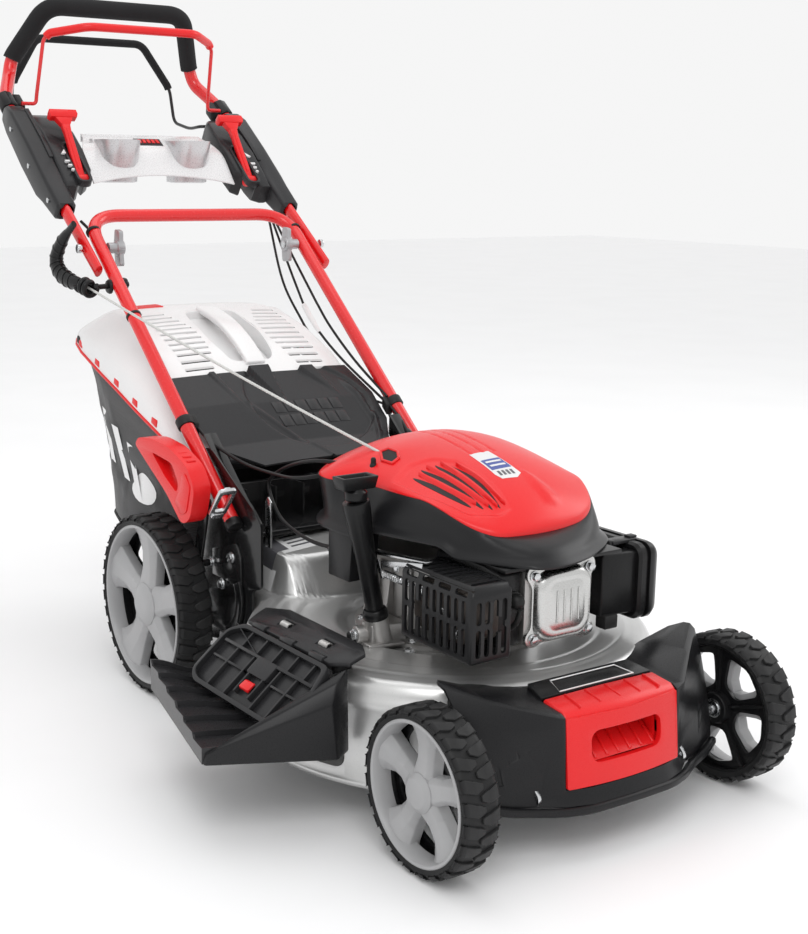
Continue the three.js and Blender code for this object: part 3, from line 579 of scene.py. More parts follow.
def place_camera():
    a, e, r = (math.radians(CAMERA_TURN[k]) for k in ("azimuth", "elevation", "roll"))
    back = Vector((math.sin(a) * math.cos(e), -math.cos(a) * math.cos(e), math.sin(e)))
    right = Vector((math.cos(a), math.sin(a), 0))
    up = right.cross(-back)
    turned = right * math.cos(r) + up * math.sin(r)
    raised = up * math.cos(r) - right * math.sin(r)
    camera = bpy.data.objects.new("camera", bpy.data.cameras.new("camera"))
    camera.matrix_world = Matrix.Translation(row(*CAMERA_AT)) @ Matrix(
        (turned, raised, back)
    ).transposed().to_4x4()
    camera.data.lens, camera.data.sensor_width = LENS, SENSOR
    camera.data.shift_x, camera.data.shift_y = SHIFT_X, SHIFT_Y
    camera.data.clip_end = FARTHEST
    bpy.context.scene.collection.objects.link(camera)
    bpy.context.scene.camera = camera


def area_light(name, at, toward, size, power):
    data = bpy.data.lights.new(name, "AREA")
    data.size, data.energy = size, power
    light = bpy.data.objects.new(name, data)
    light.location = at
    light.rotation_euler = (Vector(toward) - Vector(at)).to_track_quat("-Z", "Y").to_euler()
    bpy.context.scene.collection.objects.link(light)


def studio():
    world = bpy.data.worlds.new("studio")
    bpy.context.scene.world = world
    world.use_nodes = True
    world.node_tree.nodes["Background"].inputs["Color"].default_value = (1, 1, 1, 1)
    world.node_tree.nodes["Background"].inputs["Strength"].default_value = 0.92
    middle = (0, 0, 0.35)
    area_light("key", (-1.6, -2.4, 3.2), middle, 1.8, 34)
    area_light("side", (3.0, -0.6, 2.2), middle, 1.6, 16)
    area_light("top", (0.2, 0.6, 3.6), middle, 2.4, 16)
    floor = bpy.data.objects.new("floor", bpy.data.meshes.new("floor"))
    reach = 12
    corners = [(-reach, -reach, 0), (reach, -reach, 0), (reach, reach, 0), (-reach, reach, 0)]
    floor.data.from_pydata(corners, [], [(0, 1, 2, 3)])
    n = Nodes("floor")
    n.link(n.ramp(n.noise(3.0), [(0.3, (0.93, 0.93, 0.935)), (0.7, (0.95, 0.95, 0.955))]),
           n.shader.inputs["Base Color"])
    n.shader.inputs["Roughness"].default_value = 0.6
    floor.data.materials.append(n.material)
    floor.location.z = -0.0005
    bpy.context.scene.collection.objects.link(floor)


place_camera()
bpy.context.scene.view_settings.view_transform = "Standard"
studio()


# ------------------------------------------------------------------ wheels
WHEELS = {
    "front": {"y": 0, "z": 101.5, "r": 101.5, "rim": 90.0, "out": 276, "width": 51.5, "lugs": 24},
    "rear": {"y": 717, "z": 140, "r": 140, "rim": 127.0, "out": 275, "width": 56.5, "lugs": 32},
}
SPOKES = 5
SPOKE_START = math.pi / 2


def on_wheel(spec, radius, angle, across):
    return (across, spec["y"] + radius * math.cos(angle), spec["z"] + radius * math.sin(angle))


def tread_lugs(spec):
    """Two rows of slanted blocks that meet in a broken chevron and wrap over the shoulders."""
    inner, outer = spec["out"] - spec["width"], spec["out"]
    middle = (inner + outer) / 2
    base, top = spec["r"] - 5.2, spec["r"]
    pitch = 2 * math.pi / spec["lugs"]
    lugs = Shape()
    for k in range(spec["lugs"]):
        for edge, sign, shift in ((outer, 1, 0.0), (inner, -1, 0.5)):
            a = (k + shift) * pitch
            rows = [(edge + sign * 0.4, 0.0, 0.62, 8.0), (edge - sign * 5, 0.02, 0.64, 0.4),
                    (middle + sign * 9, 0.2, 0.78, 0.0), (middle + sign * 7.5, 0.2, 0.78, 0.0),
                    (middle - sign * 2.0, 0.34, 0.62, 0.0)]
            rings = []
            for across, start, end, drop in rows:
                a0, a1 = a + start * pitch, a + end * pitch
                rings.append(
                    [on_wheel(spec, base, a0, across), on_wheel(spec, top - drop, a0 + 0.006, across),
                     on_wheel(spec, top - drop, a1 - 0.006, across), on_wheel(spec, base, a1, across)]
                )
            if sign < 0:
                rings = rings[::-1]
            lugs.add(loft(rings))
    return lugs


def tyre_body(spec):
    inner, outer = spec["out"] - spec["width"], spec["out"]
    r, rim = spec["r"], spec["rim"]
    profile = [(rim - 2.5, inner + 3), (rim + 1, inner + 1.5), (r - 8, inner + 0.6), (r - 5, inner + 3),
               (r - 3.6, inner + 8), (r - 3.6, outer - 8), (r - 5, outer - 3), (r - 8, outer - 0.6),
               (rim + 3, outer - 0.4), (rim + 1, outer - 2.2), (rim - 2.5, outer - 2.4),
               (rim - 2.5, inner + 3)]
    return turned_profile(profile, "x", (spec["y"], spec["z"]), 96)


def spoke(spec, angle):
    """A broad spoke: flat ridge between two falling facets, flared where it meets the rim."""
    face = spec["out"]
    reach = spec["rim"] - 3
    along = Vector((0, math.cos(angle), math.sin(angle)))
    across = Vector((0, -math.sin(angle), math.cos(angle)))
    centre = Vector((0, spec["y"], spec["z"]))
    stations = [(0.10, 0.24, 0.13, 8.0), (0.26, 0.20, 0.12, 9.0), (0.45, 0.17, 0.10, 13.0),
                (0.66, 0.20, 0.09, 13.0), (0.84, 0.28, 0.10, 10.0), (1.0, 0.40, 0.12, 5.0)]
    rings = []
    for t, half, ridge, sunk in stations:
        top = face - sunk
        lean = 6.5 if t < 0.9 else 3.0
        section = [(-half, top - 22), (-half, top - lean), (-ridge, top), (ridge, top),
                   (half, top - lean), (half, top - 22)]
        rings.append(
            [centre + along * reach * t + across * reach * u + Vector((w, 0, 0)) for u, w in section]
        )
    return loft(rings)


def wheel_cap(spec):
    """Outer ring, hub dome and spokes of the pale wheel cover."""
    face, rim = spec["out"], spec["rim"]
    centre = (spec["y"], spec["z"])
    ring = turned_profile(
        [(rim - 3.0, face - 26), (rim - 2.6, face - 1.6), (rim - 4.2, face - 0.6),
         (rim - 7.0, face - 1.4), (rim - 9.5, face - 8), (rim - 11, face - 26),
         (rim - 3.0, face - 26)], "x", centre, 96)
    hub = disc_stack([(rim * 0.27, face - 26), (rim * 0.27, face - 8), (rim * 0.225, face - 5.2),
                      (rim * 0.2, face - 3.4), (rim * 0.12, face - 2.4)], "x", centre, 48)
    spokes = [spoke(spec, SPOKE_START + 2 * math.pi * k / SPOKES) for k in range(SPOKES)]
    return ring, hub, spokes


def wheel_core(spec):
    """The black wheel behind the cover: barrel, web with openings, and hub boss."""
    inner, rim = spec["out"] - spec["width"], spec["rim"]
    face = spec["out"] - 24
    y, z = spec["y"], spec["z"]
    holes = []
    for k in range(SPOKES):
        mid = SPOKE_START + 2 * math.pi * (k + 0.5) / SPOKES
        far, near = rim - 16, rim * 0.36
        corners = [(near, mid - 0.42), (far, mid - 0.46), (far + 4, mid), (far, mid + 0.46),
                   (near, mid + 0.42)]
        holes.append(rounded([(y + r * math.cos(a), z + r * math.sin(a)) for r, a in corners], 9))
    web = plate(circle(y, z, rim - 4, 80), "x", inner + 11, inner + 16, holes)
    barrel = turned_profile(
        [(rim - 2.7, inner + 3), (rim - 2.7, face), (rim - 6, face), (rim - 7.5, inner + 14),
         (rim - 5.5, inner + 3.6), (rim - 2.7, inner + 3)], "x", (y, z), 96)
    boss = disc_stack([(20, inner + 0.5), (21, inner + 3), (24, inner + 14), (24, face)], "x", (y, z), 40)
    ribs = [plate(slot_outline(y + rim * 0.2, z - 2, y + rim - 6, z + 2, 1), "x", inner + 6, inner + 13)
            .turned("X", math.degrees(SPOKE_START) + 72 * k, (0, y, z)) for k in range(SPOKES)]
    bearing = turned_profile([(9, inner - 0.2), (13, inner - 0.2), (13, inner + 2), (9, inner + 2),
                              (9, inner - 0.2)], "x", (y, z), 32)
    return [web, barrel, boss] + ribs, bearing


def build_wheels():
    for place, spec in WHEELS.items():
        ring, hub, spokes = wheel_cap(spec)
        core, bearing = wheel_core(spec)
        for side, sign in (("right", -1), ("left", 1)):
            body = f"{place}_{side}_wheel"
            tyre = piece(f"{body}_tyre", handed(tyre_body(spec), sign), "tyre", body)
            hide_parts(f"{place}_{side}_tyre")
            piece(f"{body}_lugs", handed(tread_lugs(spec), sign), "tyre", body, bevel=0.7, segments=1)
            cap = piece(f"{body}_cap", handed(joined([ring, hub]), sign), "grey_plastic", body, bevel=0.5)
            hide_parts(f"{place}_{side}_rim")
            piece(f"{body}_spokes", handed(joined(spokes), sign), "grey_plastic", body, bevel=1.6,
                  segments=3, angle=8, smooth=30)
            piece(f"{body}_core", handed(joined(core), sign), "black_plastic", body, bevel=0.8)
            piece(f"{body}_bearing", handed(bearing, sign), "zinc", body, bevel=0.4)


build_wheels()


# ------------------------------------------------------------------ handle
TUBE_ANGLE = 40.46  # degrees the lower handle rises to the rear
SLOPE = math.radians(TUBE_ANGLE)
LOWER_LEG = [(-197, 554, 290.6), (-197, 1060, 722)]
UPPER_LEG = [(-221, 958, 636), (-221, 1352, 921), (-192, 1404, 966), (-184, 1409, 997),
             (-138, 1343, 1090)]


def loop(half):
    return list(half) + [(-x, y, z) for x, y, z in reversed(half)]


def part_of(path, start, end):
    """The stretch of a path between two fractions of its length."""
    lengths = [0.0]
    for a, b in zip(path, path[1:]):
        lengths.append(lengths[-1] + (b - a).length)
    total = lengths[-1]

    def at(fraction):
        d = fraction * total
        for i in range(len(path) - 1):
            if lengths[i + 1] >= d:
                t = (d - lengths[i]) / max(1e-9, lengths[i + 1] - lengths[i])
                return path[i].lerp(path[i + 1], t)
        return path[-1]

    inside = [p for p, d in zip(path, lengths) if start * total < d < end * total]
    return [at(start)] + inside + [at(end)]


def pressed_end(p):
    """The lowest 50 mm of each upper leg is pressed flat round the clamp bolt."""
    if p.y >= 1040:
        return p
    along = (p.y - 958) * math.cos(SLOPE) + (p.z - 636) * math.sin(SLOPE)
    k = min(1.0, max(0.0, (80 - along) / 30))
    centre = math.copysign(221, p.x)
    return Vector((centre + (p.x - centre) * (1 - 0.45 * k), p.y, p.z))


def build_tubes():
    lower = bent(loop(LOWER_LEG), 62, 12)
    obj = piece("lower_tube", sweep_tube(lower, 11, sides=28), "red_paint", "lower_handle_body",
                bevel=1.2)
    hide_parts("lower_handle")
    upper = bent(loop(UPPER_LEG), 32, 10)
    tube = sweep_tube(upper, 12, sides=28).warped(pressed_end)
    obj = piece("upper_tube", tube, "red_paint", "upper_handle_body", bevel=1.0)
    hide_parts("upper_handle")
    grip = part_of(upper, 0.350, 0.650)
    foam = sweep_tube(grip, 16.6, sides=28)
    obj = piece("foam_sleeve", foam, "foam", "upper_handle_body", bevel=3, segments=4, angle=60)
    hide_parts("foam_grip")


def bail(name, leg, sleeve, wire_radius, wire_material, sleeve_material, body, node):
    path = bent(loop(leg), 16, 8)
    wire = piece(name + "_wire", sweep_tube(path, wire_radius, sides=14), wire_material, body)
    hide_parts(node)
    if sleeve:
        cover = bent(loop(sleeve), 16, 8)
        piece(name + "_sleeve", sweep_tube(cover, 7.6, sides=20), sleeve_material, body,
              bevel=2, segments=3, angle=60)


def build_bails():
    bail("engine_bail",
         [(-203, 1316, 914), (-176, 1316, 914), (-175, 1314, 930), (-170, 1287, 1024), (-162, 1284, 1034),
          (-106, 1232, 1047)],
         [(-166, 1285, 1029), (-160, 1281, 1036), (-106, 1232, 1047)],
         3.4, "red_paint", "red_plastic", "engine_bail_body", "engine_bail")
    bail("drive_bail",
         [(-203, 1350, 884), (-178, 1350, 884), (-176, 1392, 880), (-172, 1452, 893), (-165, 1457, 960),
          (-110, 1469, 1043)],
         [(-163, 1457, 958), (-160, 1458, 966), (-110, 1469, 1043)],
         3.2, "black_paint", "foam", "drive_bail_body", "drive_bail")


build_tubes()
build_bails()


# ------------------------------------------------------------------ engine cover and shroud
MIDDLE = Vector((-5, 262))
LIP = [(-22, 27), (-62, 29), (-92, 72), (-112, 110), (-135, 170), (-152, 225), (-165, 268),
       (-173, 320), (-170, 375), (-130, 430), (-60, 458), (0, 462), (80, 450), (140, 400),
       (162, 330), (160, 260), (148, 180), (126, 120), (107, 92), (38, 46)]
SEAM = [(-30, 88), (-78, 94), (-102, 118), (-118, 145), (-130, 175), (-136, 228), (-137, 285),
        (-150, 328), (-166, 352), (-160, 388), (-120, 426), (-60, 448), (0, 452), (80, 440),
        (128, 400), (148, 330), (146, 260), (134, 180), (110, 128), (72, 102), (19, 90)]
AROUND = 144


class Outline:
    """A closed plan outline read as a radius in each direction from MIDDLE."""

    def __init__(self, points, round_by):
        polar = []
        for x, y in rounded(points, round_by, 6):
            d = Vector((x, y)) - MIDDLE
            polar.append((math.atan2(d.y, d.x) % (2 * math.pi), d.length))
        self.polar = sorted(polar)

    def radius(self, angle):
        a = angle % (2 * math.pi)
        before = self.polar[-1][0] - 2 * math.pi, self.polar[-1][1]
        for entry in self.polar + [(self.polar[0][0] + 2 * math.pi, self.polar[0][1])]:
            if entry[0] >= a:
                t = (a - before[0]) / max(1e-9, entry[0] - before[0])
                return before[1] + (entry[1] - before[1]) * t
            before = entry
        return before[1]


lip_outline, seam_outline = Outline(LIP, 30), Outline(SEAM, 24)


def smoothstep(low, high, v):
    t = min(1.0, max(0.0, (v - low) / (high - low)))
    return t * t * (3 - 2 * t)


def seam_height(y):
    return 358 + 38 * smoothstep(80, 190, y)


def crown_height(x, y):
    """Height of the cover's middle: highest over the flywheel, falling to the front."""
    front = 447 - 58 * (max(0.0, 330 - y) / 245) ** 1.6
    return front - 14 * smoothstep(350, 460, y) - 0.0011 * (x - 10) ** 2


def plan_point(outline, angle, share):
    r = outline.radius(angle) * share
    return MIDDLE + Vector((math.cos(angle), math.sin(angle))) * r


def cover_height(x, y):
    d = Vector((x, y)) - MIDDLE
    share = d.length / seam_outline.radius(math.atan2(d.y, d.x))
    edge_y = MIDDLE.y + d.y / max(share, 1e-6)
    edge = seam_height(edge_y) if share > 0.02 else 396
    rise = max(0.0, 1 - min(1.0, share) ** 4.2) ** 0.55
    return edge + (crown_height(x, y) - edge) * rise


def on_cover(x, y, lift=0.0):
    return Vector((x, y, cover_height(x, y) + lift))


def line_distance(x, y, points):
    best = 1e9
    p = Vector((x, y))
    for a, b in zip(points, points[1:]):
        a, b = Vector(a), Vector(b)
        t = min(1.0, max(0.0, (p - a).dot(b - a) / (b - a).length_squared))
        best = min(best, (p - a.lerp(b, t)).length)
    return best


def inside_outline(x, y, points):
    inside = False
    for (x0, y0), (x1, y1) in zip(points, points[1:] + points[:1]):
        if (y0 > y) != (y1 > y) and x < (x1 - x0) * (y - y0) / (y1 - y0) + x0:
            inside = not inside
    return inside


TOP_GROOVES = [[(-14, 236), (-8, 380)], [(6, 232), (12, 392)], [(26, 236), (30, 380)]]
VENT_PANEL = [(-96, 262), (-64, 252), (-42, 226), (-38, 160), (-44, 118), (-62, 113),
              (-98, 134), (-126, 190), (-128, 252)]
TEARDROP = [(26, 178), (34, 166), (45, 124), (36, 112), (20, 116), (20, 150)]


def cover_detail(x, y):
    """Pressed detail: grooves along the crown, the sunk vent panel and a raised teardrop."""
    lift = 0.0
    for groove in TOP_GROOVES:
        lift -= 1.6 * math.exp(-((line_distance(x, y, groove) / 1.8) ** 2))
    edge = line_distance(x, y, VENT_PANEL + VENT_PANEL[:1])
    sunk = edge if inside_outline(x, y, VENT_PANEL) else -edge
    lift -= 3.5 * smoothstep(-2, 4, sunk)
    edge = line_distance(x, y, TEARDROP + TEARDROP[:1])
    raised = edge if inside_outline(x, y, TEARDROP) else -edge
    lift += 3.0 * smoothstep(-3, 5, raised)
    return lift


def cover_grid(rings=64):
    shape = Shape()
    for i in range(rings + 1):
        share = 1 - (i / rings) ** 1.25 * 0.985
        for k in range(AROUND):
            p = plan_point(seam_outline, 2 * math.pi * k / AROUND, share)
            lift = cover_detail(p.x, p.y) * smoothstep(0, 0.06, 1 - share)
            shape.v.append(on_cover(p.x, p.y, lift))
    for i in range(rings):
        for k in range(AROUND):
            a, b = i * AROUND + k, i * AROUND + (k + 1) % AROUND
            shape.f.append((a, b, b + AROUND, a + AROUND))
    shape.f.append(tuple(range(rings * AROUND, (rings + 1) * AROUND)))
    hem = []
    for k in range(AROUND):
        p = plan_point(seam_outline, 2 * math.pi * k / AROUND, 1.0)
        hem.append(Vector((p.x, p.y, seam_height(p.y) - 4)))
    start = len(shape.v)
    shape.v += hem
    for k in range(AROUND):
        k1 = (k + 1) % AROUND
        shape.f.append((k1, k, start + k, start + k1))
    return shape


def shroud_skin():
    """The dark housing from its flared lip up to the seam under the red cover."""
    levels = [(329, 0.972, 0.0), (328.5, 1.0, 0.0), (331, 1.004, 0.0), (333.5, 0.995, 0.0),
              (336.5, 0.965, 0.0), (342, 0.95, 0.06)]
    rings = []
    for z, share, toward in levels:
        ring = []
        for k in range(AROUND):
            a = 2 * math.pi * k / AROUND
            p = plan_point(lip_outline, a, share)
            q = plan_point(seam_outline, a, 1.0)
            p = p.lerp(q, toward)
            notch = 12 * smoothstep(0.35, 0.6, 1 - abs(p.y - 205) / 120) if p.x < -60 else 0
            ring.append((p.x, p.y, z + notch))
        rings.append(ring)
    base = rings[-1]
    for t in (0.25, 0.5, 0.75, 1.0):
        ring = []
        for k in range(AROUND):
            a = 2 * math.pi * k / AROUND
            x, y, z = base[k]
            q = plan_point(seam_outline, a, 1.006)
            top = seam_height(q.y) - 1.2
            bulge = t + 0.22 * t * (1 - t)
            ring.append((x + (q.x - x) * t ** 1.5, y + (q.y - y) * t ** 1.5, z + (top - z) * bulge))
        rings.append(ring)
    inner = []
    for k in range(AROUND):
        q = plan_point(seam_outline, 2 * math.pi * k / AROUND, 0.975)
        inner.append((q.x, q.y, seam_height(q.y) - 3))
    rings.append(inner)
    return loft(rings, caps=False)


LOUVRES = [
    [(-107, 236), (-99, 190), (-84, 144)], [(-90, 242), (-81, 188), (-72, 134)],
    [(-70, 238), (-66, 186), (-62, 128)], [(-55, 224), (-49, 181), (-51, 126)],
]


def ribbon(points, width, low, high, side=0.0):
    """A lens-shaped strip that follows the cover; side leans its ridge across."""
    path = smooth_path([(x, y, 0) for x, y in points], 12)
    rings = []
    for i, p in enumerate(path):
        ahead = path[min(i + 1, len(path) - 1)] - path[max(i - 1, 0)]
        across = Vector((-ahead.y, ahead.x, 0)).normalized()
        w = width * (0.12 + 0.88 * math.sin(math.pi * i / (len(path) - 1)) ** 0.6)
        lift = cover_detail(p.x, p.y)
        ring = []
        for k, h in ((-1, low), (-1 + side, high), (side * 0.4, high + 0.4), (1, low), (0, low - 2)):
            q = p + across * (w * k)
            ring.append(on_cover(q.x, q.y, lift + h))
        rings.append(ring)
    return loft(rings)


def vent_slats():
    """Raised red louvre blades, each with a flat dark strip beside it: painted shade in place of the
    opening.
    """
    blades, vent_shade = Shape(), Shape()
    for line in LOUVRES:
        blades.add(ribbon([(x + 7, y) for x, y in line], 4.2, -0.4, 4.5, 0.5))
        vent_shade.add(ribbon([(x - 1, y) for x, y in line], 5.2, -0.2, 0.5))
    return blades, vent_shade


def split_long_edges(bm, step, rounds):
    """Halves the edges longer than a step, a given number of times."""
    for _ in range(rounds):
        long_edges = [e for e in bm.edges if e.calc_length() > step]
        if not long_edges:
            break
        bmesh.ops.subdivide_edges(bm, edges=long_edges, cuts=1)
        bmesh.ops.triangulate(bm, faces=bm.faces)


def patch(outline, lift, step=5.0):
    """A thin label or panel that follows the cover inside an outline."""
    flat = [Vector((x, y, 0)) for x, y in outline]
    bm = bmesh.new()
    verts = [bm.verts.new(p) for p in flat]
    for t in tessellate_polygon([flat]):
        bm.faces.new([verts[i] for i in t])
    split_long_edges(bm, step, 3)
    shape = taken_from(bm)
    return shape.warped(lambda p: on_cover(p.x, p.y, lift + cover_detail(p.x, p.y)))


DECAL = [(-18, 234), (16, 236), (20, 172), (8, 164), (-16, 166), (-20, 176)]


def build_decal():
    """A plain sticker: white with a blue panel and bars, in place of the maker's."""
    panel = [(-16, 212), (16, 214), (17, 188), (-17, 186)]
    bars = [[(x, 182), (x + 4, 182), (x + 3, 172), (x - 1, 172)] for x in range(-13, 9, 7)]
    stripes = [[(-13, y), (13, y + 1), (13, y + 5), (-13, y + 4)] for y in (193, 203)]
    for name, outlines, lift, material, thick in (
            ("cover_decal", [DECAL], 0.5, "label", 0.4),
            ("cover_decal_panel", [panel], 0.9, "label_blue", 0.4),
            ("cover_decal_bars", bars, 0.9, "label_print", 0.3),
            ("cover_decal_stripes", stripes, 1.3, "label", 0.3)):
        shape = joined([patch(outline, lift) for outline in outlines])
        piece(name, shape, material, "chassis", thick=thick)


def build_engine_cover():
    cover = piece("engine_cover_shell", cover_grid(), "red_plastic", "chassis", smooth=35)
    eye = [(-108, 284), (-96, 286), (-88, 300), (-90, 318), (-102, 320), (-112, 302)]
    piece("rope_eye_lining", patch(eye, 0.8), "rubber", "chassis", thick=0.6)
    lip = sweep_tube([on_cover(x, y, 1.2) for x, y in eye + eye[:2]], 2.2, 10)
    piece("rope_eye_lip", lip, "red_plastic", "chassis", smooth=60)
    nub = disc_stack([(5, 408), (5, 418), (3.6, 420), (3.6, 426), (2, 428)], "z", (-122, 308), 18)
    piece("rope_eye_nub", nub, "rubber", "chassis", bevel=0.5)
    bracket = hull([(x, y, z) for x, y in [(-128, 296), (-116, 316)] for z in (404, 412)] +
                   [(x, y, z) for x, y in [(-114, 290), (-104, 310)] for z in (404, 414)])
    piece("rope_eye_bracket", bracket, "black_plastic", "chassis", bevel=1)
    build_decal()
    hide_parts("engine_cover")
    blades, vent_shade = vent_slats()
    piece("engine_cover_slats", blades, "red_plastic", "chassis", smooth=50)
    # Flat black strips beside the blades: painted shade where the louvre openings would be.
    piece("engine_cover_gaps", vent_shade, "rubber", "chassis", smooth=50)
    skin = piece("engine_shroud", shroud_skin(), "dark_plastic", "chassis", thick=3, smooth=50)
    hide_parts("blower_housing")
    floor = [plan_point(seam_outline, 2 * math.pi * k / 48, 0.95) for k in range(48)]
    rings = [[(p.x, p.y, seam_height(p.y) - 12) for p in floor],
             [(p.x * 0.7, MIDDLE.y + (p.y - MIDDLE.y) * 0.6, 380) for p in floor]]
    piece("engine_cover_inside", loft(rings), "black_plastic", "chassis")


build_engine_cover()


# ------------------------------------------------------------------ deck
DECK_Y, DECK_R = 296, 285
SKIRT = [(45, 0.0), (47, 2.5), (50, 3.2), (53, 2.5), (55, 0.4), (100, 0.8), (146, 1.0), (150, 3.4),
         (156, 4.4), (162, 3.2), (165, 0.6), (172, -1.6), (179, -5.0), (184, -9.5), (187, -15.0)]
TUNNEL_HALF, TUNNEL_REAR = 172, 640


def deck_plan(angle):
    """Radius of the deck's outline: a round pan that runs back into the rear tunnel."""
    c, s = math.cos(angle), math.sin(angle)
    if s <= 0:
        return DECK_R
    to_rear = (TUNNEL_REAR - DECK_Y) / s
    to_side = TUNNEL_HALF / abs(c) if abs(c) > 1e-6 else 1e9
    corner = min(to_rear, to_side)
    return max(DECK_R, corner) if s > 0.6 else DECK_R


def smooth_max(a, b, soft):
    h = max(0.0, soft - abs(a - b)) / soft
    return max(a, b) + h * h * soft / 4


def tunnel_height(x, y):
    """The rear discharge tunnel swells out of the pan and rises to the rear opening."""
    front = 452 + 0.0016 * (x + 10) ** 2 - 26 * smoothstep(20, 120, x)
    rise = smoothstep(front - 26, front + 46, y)
    side = 1 - smoothstep(TUNNEL_HALF - 42, TUNNEL_HALF - 4, abs(x))
    roof = 243 + 12 * smoothstep(480, 620, y) + 5 * math.cos(x / 60)
    return 120 + (roof - 120) * rise * side


def pan_height(x, y):
    r = math.hypot(x, y - DECK_Y)
    height = 188.5 - 3.0 * smoothstep(216, 206, r) - 7.0 * smoothstep(160, 138, r)
    height += 2.0 * math.exp(-(((r - 246) / 5) ** 2))
    swell = 17 * smoothstep(0, 95, x - 60) * smoothstep(300, 420, y) * smoothstep(286, 210, r)
    return height + swell


def deck_height(x, y):
    return smooth_max(pan_height(x, y), tunnel_height(x, y), 16)


def deck_skin(around=260, rings=88):
    shape = Shape()
    angles = [2 * math.pi * k / around for k in range(around)]
    for z, out in SKIRT:
        for a in angles:
            r = deck_plan(a) + out
            shape.v.append(Vector((r * math.cos(a), DECK_Y + r * math.sin(a), z)))
    top = SKIRT[-1]
    for i in range(1, rings + 1):
        share = 1 - i / rings * 0.992
        for a in angles:
            r = (deck_plan(a) + top[1]) * share
            x, y = r * math.cos(a), DECK_Y + r * math.sin(a)
            lift = smoothstep(1.0, 0.955, share)
            shape.v.append(Vector((x, y, top[0] + (deck_height(x, y) - top[0]) * lift)))
    count = len(SKIRT) + rings
    for i in range(count - 1):
        for k in range(around):
            a, b = i * around + k, i * around + (k + 1) % around
            shape.f.append((a, b, b + around, a + around))
    shape.f.append(tuple(range((count - 1) * around, count * around)))
    return shape


def build_deck():
    mouth = plate(slot_outline(170, 66, 380, 156, 14), "x", -330, -225)
    rear = plate(slot_outline(-128, 176, 128, 236, 16), "y", 560, 700)
    deck = piece("deck_shell", deck_skin(), "silver_paint", smooth=50, thick=3.0,
                 cut=[mouth, rear])
    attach(deck, "chassis")
    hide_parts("deck")
    bolts = joined([hex_bolt((x, y, deck_height(x, y) + 0.5), 6.5, 5)
                    for x, y in [(-96, 372), (96, 372), (-124, 216), (124, 216)]])
    piece("deck_bolts", bolts, "zinc", "chassis", bevel=0.5)
    nub = disc_stack([(7, 186), (7, 190), (5, 193), (5, 199), (3, 202)], "z", (-176, 279), 20)
    piece("deck_hose_nub", nub, "rubber", "chassis", bevel=0.5)
    label = tunnel_label(-150, -62, 530, 624)
    piece("deck_label", label, "label", "chassis")
    piece("deck_label_print", tunnel_label(-142, -112, 540, 614, 0.6), "label_print", "chassis")
    bars = joined([tunnel_label(-104, -72, y, y + 5, 0.6) for y in range(544, 614, 12)])
    piece("deck_label_bars", bars, "label_print", "chassis")


def tunnel_label(x0, x1, y0, y1, lift=0.3):
    steps = 10
    rings = []
    for i in range(steps + 1):
        y = y0 + (y1 - y0) * i / steps
        rings.append([(x, y, deck_height(x, y) + lift)
                      for x in [x0 + (x1 - x0) * k / steps for k in range(steps + 1)]])
    return loft(rings, caps=False, closed=False)


def hex_bolt(at, radius, height, axis="z", washer=1.5):
    """A hexagon head on its washer, standing along an axis."""
    x, y, z = at
    flat = {"x": (y, z, x), "y": (x, z, y), "z": (x, y, z)}[axis]
    u, v, w = flat
    low = plate(circle(u, v, radius * 1.25, 20), axis, w - 1, w + math.copysign(washer, height))
    head = plate(circle(u, v, radius, 6), axis, w, w + height)
    return low.add(head)


# ------------------------------------------------------------------ bumper
BUMPER_ROWS = [
    # rows from the lip up and back over the top; each runs from the middle outwards
    [(0, -76, 61), (60, -74, 61), (88, -63, 60), (120, -44, 60), (150, -36, 62), (190, -26, 70)],
    [(0, -80, 66), (60, -78, 66), (96, -67, 66), (126, -46, 66), (156, -38, 68), (196, -24, 78)],
    [(0, -73, 78), (60, -71, 78), (98, -60, 78), (116, -42, 78), (160, -34, 82), (201, -18, 92)],
    [(0, -70, 100), (60, -68, 100), (98, -58, 100), (114, -44, 104), (164, -28, 118), (203, -8, 128)],
    [(0, -66, 150), (60, -65, 150), (98, -55, 150), (112, -50, 154), (166, -20, 164), (205, 8, 176)],
    [(0, -64, 172), (60, -63, 172), (99, -53, 173), (111, -50, 177), (168, -4, 190), (211, 28, 208)],
    [(0, -58, 177), (60, -57, 177), (98, -46, 177), (108, -40, 181), (168, 6, 194), (212, 38, 213)],
    [(0, -6, 181), (60, -5, 181), (96, 4, 182), (112, 22, 184), (160, 44, 192), (208, 46, 213)],
    [(0, 26, 183), (60, 34, 184), (96, 48, 185), (120, 60, 186), (152, 72, 188), (196, 62, 205)],
]


def bumper_skin():
    rings = []
    for row_points in BUMPER_ROWS:
        left = [(-x, y, z) for x, y, z in reversed(row_points) if x > 0]
        rings.append(left + row_points)
    return loft(rings, caps=False, closed=False)


def bumper_grooves():
    """Five slanting louvre grooves low on each side."""
    tools = []
    for k in range(5):
        x, y = 116 + 13 * k, -57 + 6.5 * k
        tools.append(bar((x, y, 84 + 3 * k), (x + 9, y + 9, 130 + 6 * k), 3.2))
    return [joined(tools).both()]


